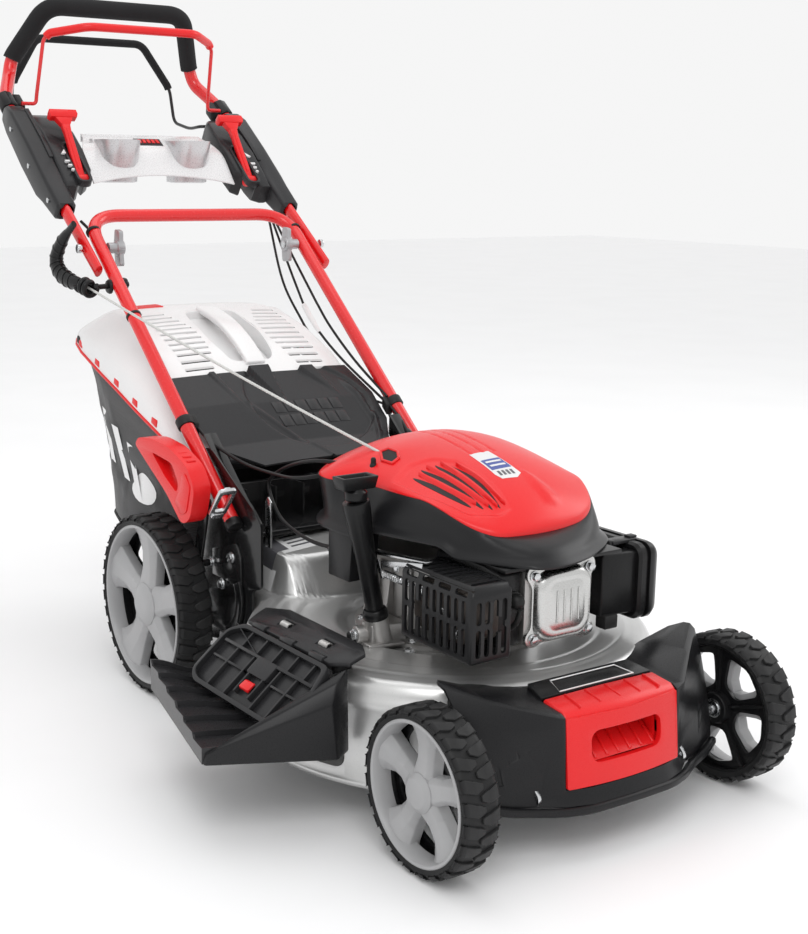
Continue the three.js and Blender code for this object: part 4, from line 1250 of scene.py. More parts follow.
def build_bumper():
    pocket = plate(slot_outline(-93.5, 84, 93.5, 205, 2), "y", -120, -9)
    shell = piece("front_nose", bumper_skin(), "graphite_dark", "chassis", thick=4)
    for tool in [pocket] + bumper_grooves():
        cut_with(shell, tool)
    soften(shell, 2.2)
    shade(shell, 35)
    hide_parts("front_bumper")
    lip = [(0, -79, 60), (70, -77, 60), (104, -66, 60), (132, -50, 61), (165, -42, 66), (194, -30, 74)]
    path = [(-x, y, z) for x, y, z in reversed(lip[1:])] + lip
    section = [(1, 0), (0.6, 0.8), (-0.6, 0.8), (-1, 0), (-0.6, -0.8), (0.6, -0.8)]
    piece("front_lip", sweep_tube(bent(path, 20), 6, section=section, up=(0, 0, 1)),
          "graphite_dark", "chassis", bevel=1)
    floor = block(-93, 93, -56, 2, 80, 84)
    sides = block(-96, -92, -50, 2, 84, 168).add(block(92, 96, -50, 2, 84, 168))
    piece("front_pocket", floor.add(sides, block(-93, 93, -2, 1, 84, 174)), "black_plastic",
          "chassis", bevel=0.6)
    badge = [(-62, -8.5, 186), (62, -8.5, 186), (54, 18, 190), (-54, 18, 190)]
    shelf = hull([(s * x, y, z) for s in (-1, 1) for x, y, z in
                  [(92, -9, 184), (92, -9, 178), (84, 26, 190), (84, 26, 180)]])
    piece("front_badge_shelf", shelf, "black_plastic", "chassis", bevel=1)
    line = sweep_tube([Vector(p) for p in badge + badge[:2]], 0.9, sides=6)
    piece("front_badge_line", line, "white_plastic", "chassis")
    wheel_covers = Shape()
    for s in (-1, 1):
        wheel_covers.add(hull([(s * 196, y, z) for y, z in [(-20, 74), (40, 80), (40, 190), (8, 176)]] +
                              [(s * 200, y, z) for y, z in [(-18, 78), (36, 84), (36, 196), (10, 176)]]))
    piece("front_side_walls", wheel_covers, "graphite_dark", "chassis", bevel=1)


GRIP_SLOT = slot_outline(-58, 112, 58, 152, 13)


def grip_lean(p):
    """The insert leans back as it rises and bows forward in the middle."""
    return Vector((p.x, p.y + (p.z - 86) * 0.10 - 9 * (1 - (p.x / 93) ** 2), p.z))


def build_carry_grip():
    """Red insert: face with a hand slot, ribbed top band and a sloping ribbed slot floor."""
    front = rounded([(-92.5, 85), (-92.5, 172), (92.5, 172), (92.5, 85)], 3)
    face = plate(front, "y", -63, -52, [GRIP_SLOT])
    tube = plate(slot_outline(-63, 107, 63, 157, 16), "y", -56, -16, [GRIP_SLOT])
    whole = Shape()
    for shape in (face, tube):
        whole.add(refined(shape, 12).warped(grip_lean))
    top = hull([(s * 92.5, y, z) for s in (-1, 1) for y, z in
                [(-53, 166), (-54, 172), (-46, 179), (-12, 183), (-12, 176)]] +
               [(0, -63, 168), (0, -63.5, 174), (0, -54, 181), (0, -12, 184)])
    insert = piece("front_grip", whole, "red_plastic", "chassis", bevel=1.6)
    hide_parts("carry_grip")
    piece("front_grip_top", top, "red_plastic", "chassis", bevel=3, segments=3, smooth=30)
    ribs = Shape()
    for k in range(5):
        x = -66 + 33 * k
        ribs.add(hull([(x + dx, y, z) for dx, y, z in [
            (-2, -50, 179), (2, -50, 179), (-1, -50, 182.5), (1, -50, 182.5),
            (3, -16, 182), (7, -16, 182), (4, -16, 185.6), (6, -16, 185.6)]]))
    piece("front_grip_ribs", ribs, "red_plastic", "chassis", bevel=0.8)
    slope = prism(-57, 57, [(-62, 113), (-16, 140), (-16, 112)])
    floor_ribs = joined([bar((x, -60, 114), (x + 8, -18, 140), 2.2, 8) for x in range(-46, 50, 19)])
    piece("front_grip_floor", slope.add(floor_ribs), "red_plastic", "chassis", bevel=0.6)


def refined(shape, step):
    """The same shape with its long edges split, so that a warp can bend it."""
    bm = bmesh.new()
    verts = [bm.verts.new(p) for p in shape.v]
    for face in shape.f:
        if len(set(face)) == len(face):
            try:
                bm.faces.new([verts[i] for i in face])
            except ValueError:
                continue
    bmesh.ops.triangulate(bm, faces=bm.faces)
    split_long_edges(bm, step, 5)
    return taken_from(bm)


# ------------------------------------------------------------------ exhaust, head and filter
GUARD = {"x0": -163, "x1": -100, "y0": 40, "y1": 184, "z0": 222, "z1": 318, "wall": 4}


def guard_slots():
    g = GUARD
    side, front, top = Shape(), Shape(), Shape()
    for k in range(9):
        y = g["y0"] + 12 + k * 14.4
        for z0, z1 in ((230, 265), (271, 300)):
            side.add(plate(slot_outline(y, z0, y + 8.4, z1, 4), "x", -175, -150))
        top.add(plate(slot_outline(g["x0"] + 10, y, g["x1"] - 8, y + 7, 3), "z", 308, 330))
    for k in range(4):
        x = g["x0"] + 7 + k * 13.2
        for z0, z1 in ((230, 265), (271, 300)):
            front.add(plate(slot_outline(x, z0, x + 8, z1, 4), "y", 30, 50))
    rims = Shape()
    for k in range(4):
        y = g["y0"] + 10 + k * 33
        rims.add(plate(slot_outline(y, 305, y + 24, 312, 3), "x", -175, -150))
    return [side, front, top, rims,
            plate(circle(150, 266, 11, 24), "x", -175, -152),
            plate(circle(-121, 268, 10, 24), "y", 30, 48)]


def build_exhaust():
    g = GUARD
    box_shape = hull([
        (g["x0"], g["y0"], g["z0"]), (g["x1"], g["y0"], g["z0"]),
        (g["x0"], g["y1"], g["z0"]), (g["x1"], g["y1"], g["z0"]),
        (g["x0"], g["y0"], g["z1"] - 9), (g["x0"], g["y1"], g["z1"] - 9),
        (g["x0"] + 8, g["y0"] + 7, g["z1"]), (g["x0"] + 8, g["y1"], g["z1"]),
        (g["x1"], g["y0"] + 7, g["z1"]), (g["x1"], g["y0"], g["z1"] - 9), (g["x1"], g["y1"], g["z1"])])
    guard = piece("exhaust_guard", box_shape, "dark_plastic", "chassis", bevel=3.5, segments=3)
    w = g["wall"]
    room = block(g["x0"] + w, g["x1"] + 20, g["y0"] + w, g["y1"] + 8, g["z0"] + w, g["z1"] - w)
    for tool in [room] + guard_slots():
        cut_with(guard, tool)
    soften(guard, 0.6, 1, 50)
    shade(guard, 35)
    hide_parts("muffler_guard")
    can = plate(slot_outline(56, 238, 170, 304, 20, 6), "x", -152, -108)
    seam = plate(slot_outline(53, 235, 173, 307, 22, 6), "x", -132, -129)
    pipe = bar((-110, 130, 270), (-60, 130, 270), 12, 20)
    spout = bar((-130, 78, 262), (-130, 50, 262), 9, 20)
    body = piece("exhaust_can", can.add(seam, pipe, spout), "burnt_steel", "chassis", bevel=3)
    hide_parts("muffler")
    screws = joined([hex_bolt((-152, y, z), 5, -4, "x") for y, z in [(78, 250), (150, 286), (112, 270)]])
    piece("exhaust_screws", screws, "zinc", "chassis", bevel=0.4)


def build_head():
    fins = Shape()
    for k in range(12):
        y = 104 + 7.4 * k
        fins.add(plate(slot_outline(-62, 226, 50, 322, 10), "y", y, y + 2.6))
    core = block(-48, 38, 90, 192, 236, 314)
    casting = plate(slot_outline(-62, 222, 50, 324, 10), "y", 62, 98)
    head = piece("engine_head", casting.add(core, fins), "cast", "chassis", bevel=0.8)
    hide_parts("cylinder_head")


VALVE_FLANGE = [(-60, 222), (-64, 236), (-54, 246), (-54, 300), (-64, 312), (-60, 326), (-46, 328),
                (-36, 320), (20, 320), (30, 328), (48, 326), (52, 312), (42, 300), (42, 246),
                (52, 236), (48, 222), (30, 219), (20, 226), (-36, 226), (-46, 219)]
VALVE_DOME = [(58, 0), (52, 1.5), (47, 5), (44.5, 10), (45.5, 14), (45, 17), (43.5, 20)]  # y, inset


def build_valve_cover():
    flange = plate(rounded(VALVE_FLANGE, 7), "y", 57, 62)
    piece("valve_cover_flange", flange, "polished", "chassis", bevel=1)
    rings = []
    for y, inset in VALVE_DOME:
        outline = slot_outline(-52 + inset, 226 + inset, 40 - inset, 320 - inset, 24 - inset * 0.6, 6)
        rings.append([(u, y, v) for u, v in outline])
    piece("valve_cover_dome", loft(rings), "polished", "chassis", smooth=55)
    ridges = joined([bar((x, 43.6, 252), (x, 43.6, 294), 1.6, 8) for x in (-24, -12, 0, 12)])
    piece("valve_cover_ridges", ridges, "polished", "chassis")
    bolts = joined([hex_bolt((x, 57, z), 5.5, -7, "y") for x in (-52, 40) for z in (232, 314)])
    piece("valve_cover_bolts", bolts, "zinc", "chassis", bevel=0.5)


def build_spark_plug():
    angles = [math.radians(d) for d in range(80, -91, -17)]
    ball = [(10 * math.cos(a), 60 + 10 * math.sin(a)) for a in angles]
    cap = disc_stack(ball, "y", (-76, 284), 24)
    boot = disc_stack([(11.5, 64), (12.5, 70), (12.5, 96)], "y", (-76, 284), 24)
    piece("spark_plug_cap", cap.add(boot), "rubber", "chassis")
    lead = smooth_path([(-76, 52, 275), (-80, 58, 256), (-84, 80, 244), (-84, 110, 262),
                        (-80, 130, 316)], 8)
    piece("spark_plug_lead", sweep_tube(lead, 3.6, 12), "rubber", "chassis")


def build_baffles():
    baffle = prism(-99, -64, [(68, 224), (68, 318), (100, 324), (196, 324), (196, 224)])
    piece("head_baffle", baffle, "black_plastic", "chassis", bevel=3)
    tray = prism(-96, 100, [(60, 322), (60, 327), (210, 327), (210, 322)])
    piece("head_top_baffle", tray, "black_plastic", "chassis", bevel=1)


AIR_LID = [(160, 0), (164, 3), (172, 3), (173, 0), (178, 0), (179, 3.4), (186, 3.4), (194, 0),
           (198.5, -6), (200, -14)]  # x, growth of the outline


def build_air_filter():
    body = hull([(104, 98, 222), (104, 98, 308), (164, 92, 222), (164, 92, 308),
                 (104, 222, 222), (104, 222, 306), (164, 226, 222), (164, 226, 306)])
    case = piece("air_case", body, "black_plastic", "chassis", bevel=4, segments=3)
    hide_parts("air_filter")
    rings = []
    for x, grow in AIR_LID:
        outline = slot_outline(87 - grow, 214 - grow, 233 + grow, 314 + grow, 16, 5)
        rings.append([(x, u, v) for u, v in outline])
    piece("air_lid", loft(rings), "black_plastic", "chassis", smooth=35)
    clips = Shape()
    for y in (112, 196):
        clips.add(block(136, 178, y, y + 20, 314, 319), block(132, 142, y + 3, y + 17, 305, 320),
                  block(170, 184, y + 4, y + 16, 318, 322))
    piece("air_clips", clips, "graphite", "chassis", bevel=1.6)
    snout = prism(106, 130, [(90, 206), (110, 206), (110, 226), (90, 226)])
    piece("air_drain", snout, "rubber", "chassis", bevel=3)
    throat = disc_stack([(24, 52), (24, 58), (16, 60), (16, 92), (22, 94), (22, 104)], "x", (140, 268), 28)
    bowl = disc_stack([(12, 222), (19, 226), (19, 258), (22, 260), (22, 264)], "z", (78, 140), 28)
    carb = piece("carburettor_body", throat.add(bowl, block(60, 96, 124, 156, 254, 284)), "cast",
                 "chassis", bevel=1.5)
    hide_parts("carburettor")


FILLER_FOOT, FILLER_MOUTH = Vector((-139.5, 262, 190)), Vector((-181, 262, 384))


def along(t):
    """A point at a share of the way up the filler neck."""
    return FILLER_FOOT.lerp(FILLER_MOUTH, t)


def build_filler():
    tube = sweep_tube([along(t) for t in (0.02, 0.35, 0.62, 0.80, 0.93, 1.0)], 1, sides=32,
                      radii=[12, 12.5, 13.5, 16, 18, 18])
    filler = piece("filler_tube", tube, "black_plastic", "chassis", bevel=1.5, smooth=35)
    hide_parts("oil_filler_tube")
    collar = sweep_tube([along(0.16), along(0.20), along(0.23)], 1, sides=32, radii=[17, 17.5, 15])
    piece("filler_collar", collar, "black_plastic", "chassis", bevel=1.5, smooth=35)
    foot = sweep_tube([along(-0.02), along(0.05), along(0.17)], 1, sides=32, radii=[19, 17.5, 16.5])
    base = hull([(x, y, z) for x, y in [(-168, 246), (-168, 282), (-116, 236), (-116, 292)]
                 for z in (184, 190)])
    boss = sweep_tube([(-172, 274, 198), (-150, 270, 198)], 1, sides=24, radii=[12, 13])
    neck = hull([(x, y, z) for x, y in [(-160, 252), (-160, 276), (-108, 244), (-108, 286)]
                 for z in (188, 214)])
    piece("filler_foot", foot.add(base, boss, neck), "cast", "chassis", bevel=2, segments=3,
          smooth=35)
    piece("filler_bolt", hex_bolt((-172, 274, 198), 6.5, -6, "x"), "zinc", "chassis", bevel=0.5)
    top = FILLER_MOUTH
    grip = hull([(top.x + dx, 262 + dy, top.z + dz) for dx, dy, dz in [
        (-29, -14, 34), (27, -14, 34), (-29, 14, 34), (27, 14, 34), (-25, -12, 17), (23, -12, 17),
        (-25, 12, 17), (23, 12, 17)]])
    hollow = hull([(top.x + dx, 262 + dy, top.z + dz) for dx, dy, dz in [
        (-24, -10, 40), (22, -10, 40), (-24, 10, 40), (22, 10, 40), (-21, -8, 27), (19, -8, 27),
        (-21, 8, 27), (19, 8, 27)]])
    cap = piece("dipstick_cap", grip, "black_plastic", "oil_dipstick_body", cut=[hollow],
                bevel=1.8, segments=3, smooth=35)
    stem = disc_stack([(13, 385), (15, 387), (15, 397), (12, 400), (12, 404)], "z", (top.x, 262), 28)
    piece("dipstick_stem", stem, "black_plastic", "oil_dipstick_body", bevel=0.8, smooth=35)
    piece("dipstick_rod", bar(along(0.12), along(1.04), 2.4, 10), "zinc", "oil_dipstick_body")
    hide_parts("oil_dipstick")


def build_tank():
    outline = [(408, 252), (494, 252), (494, 316), (468, 322), (424, 304), (410, 290)]
    tank = piece("tank_shell", plate(rounded(outline, 12), "x", -40, 150), "dark_plastic",
                 "chassis", bevel=9, segments=4)
    neck = disc_stack([(15, 312), (15, 330), (17, 331), (17, 334)], "z", (92, 482), 32)
    piece("tank_neck", neck, "dark_plastic", "chassis")
    seam = plate(rounded(outline, 12), "x", 53, 57)
    seam = seam.warped(lambda p: Vector((p.x, 451 + (p.y - 451) * 1.03, 287 + (p.z - 287) * 1.03)))
    piece("tank_seam", seam, "dark_plastic", "chassis", bevel=0.6)
    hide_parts("fuel_tank")
    rim = []
    for k in range(72):
        a = 2 * math.pi * k / 72
        r = 21.5 if k % 4 < 2 else 20.2
        rim.append((92 + r * math.cos(a), 482 + r * math.sin(a)))
    cap = plate(rim, "z", 335, 349).add(disc_stack([(19, 348), (19, 351), (16, 352.5)], "z", (92, 482), 40))
    lid = piece("tank_cap", cap, "black_plastic", "fuel_cap_body", bevel=0.6)
    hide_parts("fuel_cap")


def build_crankcase():
    profile = [(0, 178), (128, 178), (130, 186), (116, 190), (108, 194), (104, 230), (103, 284),
               (108, 290), (112, 300), (0, 302)]
    wall = turned_profile(profile, "z", (0, DECK_Y), 64)
    case = piece("sump_case", wall, "cast", "chassis", smooth=35)
    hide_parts("crankcase")
    ribs = Shape()
    for k in range(20):
        a = math.radians(18 * k + 6)
        u = Vector((math.cos(a), math.sin(a), 0))
        p = Vector((0, DECK_Y, 0)) + u * 104
        v = Vector((-u.y, u.x, 0)) * 2
        ribs.add(hull([p + v * s + Vector((0, 0, z)) + u * d for s in (1, -1)
                       for z, d in [(192, 16), (192, 0), (280, 4), (280, 0)]]))
    piece("sump_ribs", ribs, "cast", "chassis", bevel=0.8)
    flange = [hex_bolt((120 * math.cos(a), DECK_Y + 120 * math.sin(a), 187), 5.5, 5)
              for a in [math.radians(30 + 60 * k) for k in range(6)]]
    piece("sump_bolts", joined(flange), "zinc", "chassis", bevel=0.4)


def build_linkage():
    """Governor and throttle plates, springs and rods under the shroud's right side."""
    x = -150
    strip = prism(x, x + 12, [(338, 300), (338, 304), (150, 324), (150, 321)])
    tab = prism(x - 2, x, [(345, 284), (345, 304), (305, 304), (300, 290)])
    hook = prism(x - 1, x + 1, [(262, 303), (246, 280), (240, 280), (252, 304)])
    lever = prism(x - 6, x - 4, [(240, 306), (236, 298), (150, 316), (150, 323)])
    piece("governor_plates", strip.add(tab, hook, lever), "zinc", "chassis", bevel=0.7)
    turns = 13
    coil = [(x - 3 + 4.5 * math.cos(a), 236 - 52 * a / (2 * math.pi * turns), 289 + 4.5 * math.sin(a))
            for a in [2 * math.pi * turns * k / (turns * 12) for k in range(turns * 12 + 1)]]
    piece("governor_spring", sweep_tube(coil, 0.9, 6), "zinc", "chassis")
    front_rod = [(x, 345, 298), (x - 3, 300, 291), (x - 3, 270, 276), (x - 3, 262, 280)]
    rods = sweep_tube(bent(front_rod, 6), 1.4, 8)
    rods.add(sweep_tube(bent([(x - 3, 184, 289), (x - 3, 150, 292), (x + 20, 110, 300)], 6), 1.3, 8))
    piece("governor_rods", rods, "zinc", "chassis")
    piece("governor_bolt", hex_bolt((x - 2, 322, 294), 6, -6, "x").add(
        hex_bolt((x - 4, 205, 303), 4, -4, "x")), "zinc", "chassis", bevel=0.4)
    rear_block = hull([(-165, 300, 262), (-165, 352, 262), (-165, 352, 338), (-165, 292, 338),
                       (-120, 300, 262), (-120, 360, 262), (-120, 360, 338), (-120, 292, 338)])
    piece("linkage_housing", rear_block, "dark_plastic", "chassis", bevel=3)


build_deck()
build_bumper()
build_carry_grip()
build_exhaust()
build_head()
build_valve_cover()
build_spark_plug()
build_baffles()
build_air_filter()
build_filler()
build_tank()
build_crankcase()
build_linkage()


# ------------------------------------------------------------------ side chute and flap
CHUTE_ROOF = [(-289, 176), (-318, 156), (-356, 128), (-380, 126), (-445, 126)]
CHUTE_SWEEP, CHUTE_FRONT, CHUTE_REAR, CHUTE_TAPER = 0.40, 150, 430, 62


def along_line(points, share):
    """A point at a share of the way along a polyline."""
    total = sum((Vector(b) - Vector(a)).length for a, b in zip(points, points[1:]))
    left = share * total
    for a, b in zip(points, points[1:]):
        a, b = Vector(a), Vector(b)
        if left <= (b - a).length or b == Vector(points[-1]):
            return a.lerp(b, min(1.0, left / (b - a).length))
        left -= (b - a).length
    return Vector(points[-1])


def chute_point(s, t, drop=0.0):
    """s runs out from the deck, t from front to rear; overlapping blades fan over the roof."""
    x, z = along_line(CHUTE_ROOF, s)
    y = CHUTE_FRONT - 18 * s + (CHUTE_REAR - CHUTE_FRONT) * t
    y -= CHUTE_SWEEP * (x + 289) * (1 - 0.28 * t)
    x += CHUTE_TAPER * s * t
    z += 22 * t * smoothstep(0.35, 1.0, s)
    fan = (t * 6.0) % 1.0
    step = 7.0 * (1 - fan) * smoothstep(0.25, 0.5, s)
    return (x, y, z + step - 6.0 - drop)


def chute_roof():
    across, back = 40, 240
    rings = [[chute_point(i / across, k / back) for i in range(across + 1)]
             for k in range(back + 1)]
    return loft(rings, caps=False, closed=False)


def chute_lip():
    """The down-turned rim round the front, outer and rear edges."""
    edge = [(i / 20, 0.0) for i in range(21)] + [(1.0, k / 40) for k in range(1, 41)]
    edge += [(1 - i / 20, 1.0) for i in range(1, 21)]
    top = [chute_point(s, t, -0.2) for s, t in edge]
    low = [(x, y, 107 + 2 * smoothstep(0.5, 0, s)) for (x, y, _), (s, _) in zip(top, edge)]
    return loft([top, low], caps=False, closed=False)


FLAP = {"x": -276, "z": 207, "y0": 150, "y1": 394, "length": 108, "drop": -40}


def flap_turn(shape):
    return shape.turned("Y", FLAP["drop"]).moved(x=FLAP["x"], z=FLAP["z"])


def flap_outline(inset=0):
    i, far, front, rear = inset, -FLAP["length"], FLAP["y0"], FLAP["y1"]
    return rounded([(-6 - i, front + 14 + i), (-60, front + i), (far + i, front + 6 + i),
                    (far + i, rear - 20 - i), (far + 14, rear - i), (-26, rear - i),
                    (-6 - i, rear - 26 - i)], 9)


def build_side_flap():
    base = plate(flap_outline(), "z", -5, -1)
    rim = plate(flap_outline(), "z", -3, 7, [flap_outline(6)])
    ribs = Shape()
    for y in (196, 234, 300, 342):
        ribs.add(block(-104, -36, y, y + 3, -3, 5.5))
    ribs.add(block(-40, -36, 164, 380, -3, 6.5), block(-64, -61, 300, 380, -3, 5),
             block(-64, -61, 164, 234, -3, 5))
    for k in range(5):
        ribs.add(block(-36, -10, 188 + 38 * k, 191 + 38 * k, -3, 5))
    ribs.add(hull([(u, y + dy, z) for u, y in [(-11, 384), (-36, 300)] for z in (-3, 6.5)
                   for dy in (0, 4)]))
    housing = plate(slot_outline(-62, 246, -36, 292, 3), "z", -3, 6.8)
    cheeks = block(-92, -60, 250, 253, -3, 6.5).add(block(-92, -60, 284, 287, -3, 6.5))
    flap = piece("flap_frame", flap_turn(base.add(rim)), "graphite", "side_flap_body", bevel=1.2)
    piece("flap_ribs", flap_turn(ribs.add(housing, cheeks)), "graphite", "side_flap_body", bevel=0.7)
    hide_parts("side_flap")
    barrel = joined([bar((0, y, 0), (0, y + 30, 0), 6.5, 20) for y in (186, 256, 326)])
    piece("flap_barrels", flap_turn(barrel), "graphite", "side_flap_body", bevel=0.6)
    hull_points = [(u, y, w) for u, w in [(-86, 4), (-70, 4), (-84, 9.5), (-72, 8)] for y in (258, 280)]
    latch = piece("flap_button", flap_turn(hull(hull_points)), "red_plastic", "flap_latch_body",
                  bevel=1.8, segments=3)
    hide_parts("flap_latch")


def build_side_chute():
    roof = piece("chute_roof", chute_roof(), "graphite", "chassis", thick=3, smooth=25)
    piece("chute_lip", chute_lip(), "graphite", "chassis", thick=3, smooth=30)
    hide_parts("side_chute")
    front_wall = hull([
        (-266, 150, 208), (-288, 140, 196), (-300, 132, 172), (-292, 130, 100), (-266, 146, 100),
        (-444, 190, 106), (-444, 190, 122), (-444, 196, 106), (-262, 158, 102), (-262, 158, 200)])
    piece("chute_front_wall", front_wall, "graphite_dark", "chassis", bevel=3)
    cover = hull([
        (-279, 172, 210), (-279, 372, 210), (-240, 150, 221), (-226, 176, 222), (-226, 350, 222),
        (-244, 384, 219), (-262, 152, 212), (-258, 386, 212)])
    piece("chute_hinge_cover", hull(cover.v + cover.moved(z=-5).v), "graphite", "chassis",
          bevel=1.6, cut=[block(-262, -246, y, y + 26, 190, 240) for y in (206, 300)])
    foot = hull([(x, y, z) for x in (-262, -232) for y in (190, 350) for z in (186, 214)])
    piece("chute_foot", foot, "graphite_dark", "chassis", bevel=2)
    springs = Shape()
    for y0 in (206, 300):
        coil = []
        for k in range(97):
            a = 2 * math.pi * 8 * k / 96
            coil.append((-254 + 5 * math.cos(a), y0 + 3 + 20 * k / 96, 214 + 5 * math.sin(a)))
        springs.add(sweep_tube(coil, 1.1, 6))
    piece("chute_springs", springs, "cast", "chassis")
    skirt = hull([
        (-286, 396, 178), (-262, 400, 178), (-286, 440, 178), (-240, 440, 178), (-288, 396, 110),
        (-262, 400, 110), (-290, 440, 112), (-240, 440, 112)])
    piece("chute_rear_cheek", skirt, "graphite_dark", "chassis", bevel=2)


# ------------------------------------------------------------------ rear frame and handle fittings
FRAME_PLATE = [(526, 112), (664, 88), (702, 88), (706, 160), (688, 215), (684, 330), (668, 388),
               (645, 388), (520, 318), (500, 300), (500, 205), (526, 196)]
TUBE_SLOPE = math.tan(math.radians(TUBE_ANGLE))


def tube_z(y):
    return 308.5 + (y - 575) * TUBE_SLOPE


def tube_way(degrees):
    """The direction of a handle tube that rises to the rear at this angle."""
    return Vector((0, math.cos(math.radians(degrees)), math.sin(math.radians(degrees))))


def build_side_plates():
    plates = Shape()
    hole = circle(681, 110.5, 10, 24)
    outline = rounded(FRAME_PLATE, 8)
    for x in (-184, 180):
        plates.add(plate(outline, "x", x, x + 4, [hole]))
    frame_piece = piece("rear_side_plates", plates, "black_paint", "chassis", bevel=1)
    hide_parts("rear_frame")
    brace = Shape()
    angles = [math.radians(d) for d in range(150, 256, 8)]
    for s in (-1, 1):
        arc = [(s * 188, 612 + 57 * math.cos(a), 172 + 57 * math.sin(a)) for a in angles]
        brace.add(sweep_tube(arc, 1, section=[(9, -3), (9, 3), (-9, 3), (-9, -3)], up=(0, 1, 0)))
        brace.add(prism(s * 184, s * 188, [(552, 196), (640, 196), (640, 236), (566, 260),
                                           (552, 240)]))
    piece("rear_braces", brace, "black_paint", "chassis", bevel=1)
    bolts = joined([hex_bolt((s * 188, y, z), 7, s * 6, "x") for s in (-1, 1)
                    for y, z in [(608, 188), (640, 215), (578, 236)]])
    piece("rear_bolts", bolts, "zinc", "chassis", bevel=0.5)


def build_handle_channels():
    channel = Shape()
    for s in (-1, 1):
        for low, high in [(-16.9, -13.9), (13.65, 16.9)]:
            channel.add(prism(s * 163, s * 184, [(y, tube_z(y) + d) for y in (534, 672)
                                                 for d in (low, high)]))
        channel.add(prism(s * 162, s * 165, [(y, tube_z(y) + d) for y in (534, 672)
                                             for d in (-17, 17)]))
    piece("handle_channels", channel, "black_paint", "chassis", bevel=1.4)
    profile = [(508, 262), (524, 262), (524, 330), (516, 338), (508, 330)]
    tabs = joined([prism(s * 160, s * 163, profile) for s in (-1, 1)])
    piece("handle_tabs", tabs, "zinc", "chassis", bevel=1)


def build_rear_panels():
    cross = prism(-180, 180, [(637, 268), (643, 268), (643, 330), (632, 336), (628, 334), (636, 326)])
    lower = prism(-170, 170, [(566, 262), (630, 268), (638, 274), (638, 282), (628, 280), (566, 270)])
    ribs = joined([block(x, x + 3, 600, 640, 276, 330) for x in range(-150, 151, 50)])
    piece("rear_cross_panel", cross.add(ribs), "black_paint", "chassis", bevel=1)
    piece("rear_sill", lower, "black_paint", "chassis", bevel=1.5)


def build_handle_feet():
    bolts = joined([hex_bolt((s * 214, 575, 308.5), 7, s * 5, "x") for s in (-1, 1)])
    piece("handle_bolts", bolts, "zinc", "lower_handle_body", bevel=0.5)
    caps = Shape()
    way = tube_way(TUBE_ANGLE)
    for s in (-1, 1):
        end = Vector((s * 197, 554, 290.6))
        caps.add(bar(end - way * 4, end + way * 10, 12.5, 20))
    piece("handle_end_caps", caps, "black_plastic", "lower_handle_body", bevel=2)


LEVER_GRIP = [(757, 386), (745, 398), (700, 404), (640, 399), (585, 380), (562, 350), (578, 302),
              (604, 290), (652, 328), (722, 366)]
LEVER_OPENING = [(700, 383), (634, 377), (612, 350), (618, 335), (655, 352)]


def build_height_lever():
    grip = piece("height_grip", plate(rounded(LEVER_GRIP, 14, 5), "x", -258, -230,
                                      [rounded(LEVER_OPENING, 9, 4)]),
                 "red_plastic", "height_lever_body", bevel=6, segments=4)
    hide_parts("height_lever")
    bumps = joined([bar((-251, y, z), (-237, y, z), 2.6, 10) for y, z in
                    [(598 + d, 384.5 + d * 0.36 - 0.0027 * d ** 2) for d in range(0, 117, 13)]])
    piece("height_grip_bumps", bumps, "red_plastic", "height_lever_body", bevel=1)
    inset = rounded([(574, 352), (586, 312), (604, 304), (622, 322), (604, 346), (600, 366),
                     (590, 370)], 6)
    panel = plate(inset, "x", -259.5, -257)
    piece("height_grip_panel", panel, "red_plastic", "height_lever_body", bevel=0.8)
    outline = circle(640, 215, 12, 14, math.pi, math.pi) + circle(612, 312, 11, 14, 0, math.pi)
    arm = plate(outline, "x", -216, -211.4)
    pin = bar((-213, 640, 215), (-185, 640, 215), 5.5, 20)
    shank = plate(slot_outline(596, 300, 626, 324, 4), "x", -236, -211.6)
    piece("height_arm", arm.add(pin, shank), "black_paint", "height_lever_body", bevel=1)


def build_releases():
    for side, body in ((-1, "right_release_body"), (1, "left_release_body")):
        frame_shape = plate(slot_outline(212, 0, 240, 58, 5), "y", -2.6, 2.6,
                            [slot_outline(218, 10, 234, 50, 4)])
        hook = plate(slot_outline(216, -3, 236, 6, 3), "y", -5, 3.4)
        tongue = plate(slot_outline(221, 44, 231, 58, 2), "y", 2, 4.4)
        whole = frame_shape.add(hook, tongue).turned("X", TUBE_ANGLE).moved(y=556, z=311)
        loop_piece = piece(body[:-5] + "_loop", handed(whole, side), "zinc", body, bevel=1.5,
                           segments=3)
        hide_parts(body[:-5])


# ------------------------------------------------------------------ rear flap
FLAP_LINE = [(812, 478), (742, 440), (669, 388), (612, 366)]
FLAP_HALF = [(812, 166), (800, 168), (742, 176), (690, 171), (655, 150), (612, 110)]


def read_line(points, at):
    for (a, va), (b, vb) in zip(points, points[1:]):
        if min(a, b) <= at <= max(a, b):
            return va + (vb - va) * (at - a) / (b - a)
    return points[0][1] if abs(at - points[0][0]) < abs(at - points[-1][0]) else points[-1][1]


def wedge(s, t, s0, s1, tip_s, tip_t, height):
    """A raised rib, wide at the rear edge and running out to a point."""
    if t > tip_t:
        return 0.0
    k = t / tip_t
    left, right = s0 + (tip_s - s0) * k, s1 + (tip_s - s1) * k
    inside = min(s - left, right - s)
    return height * (1 - k) * smoothstep(-0.012, 0.018, inside)


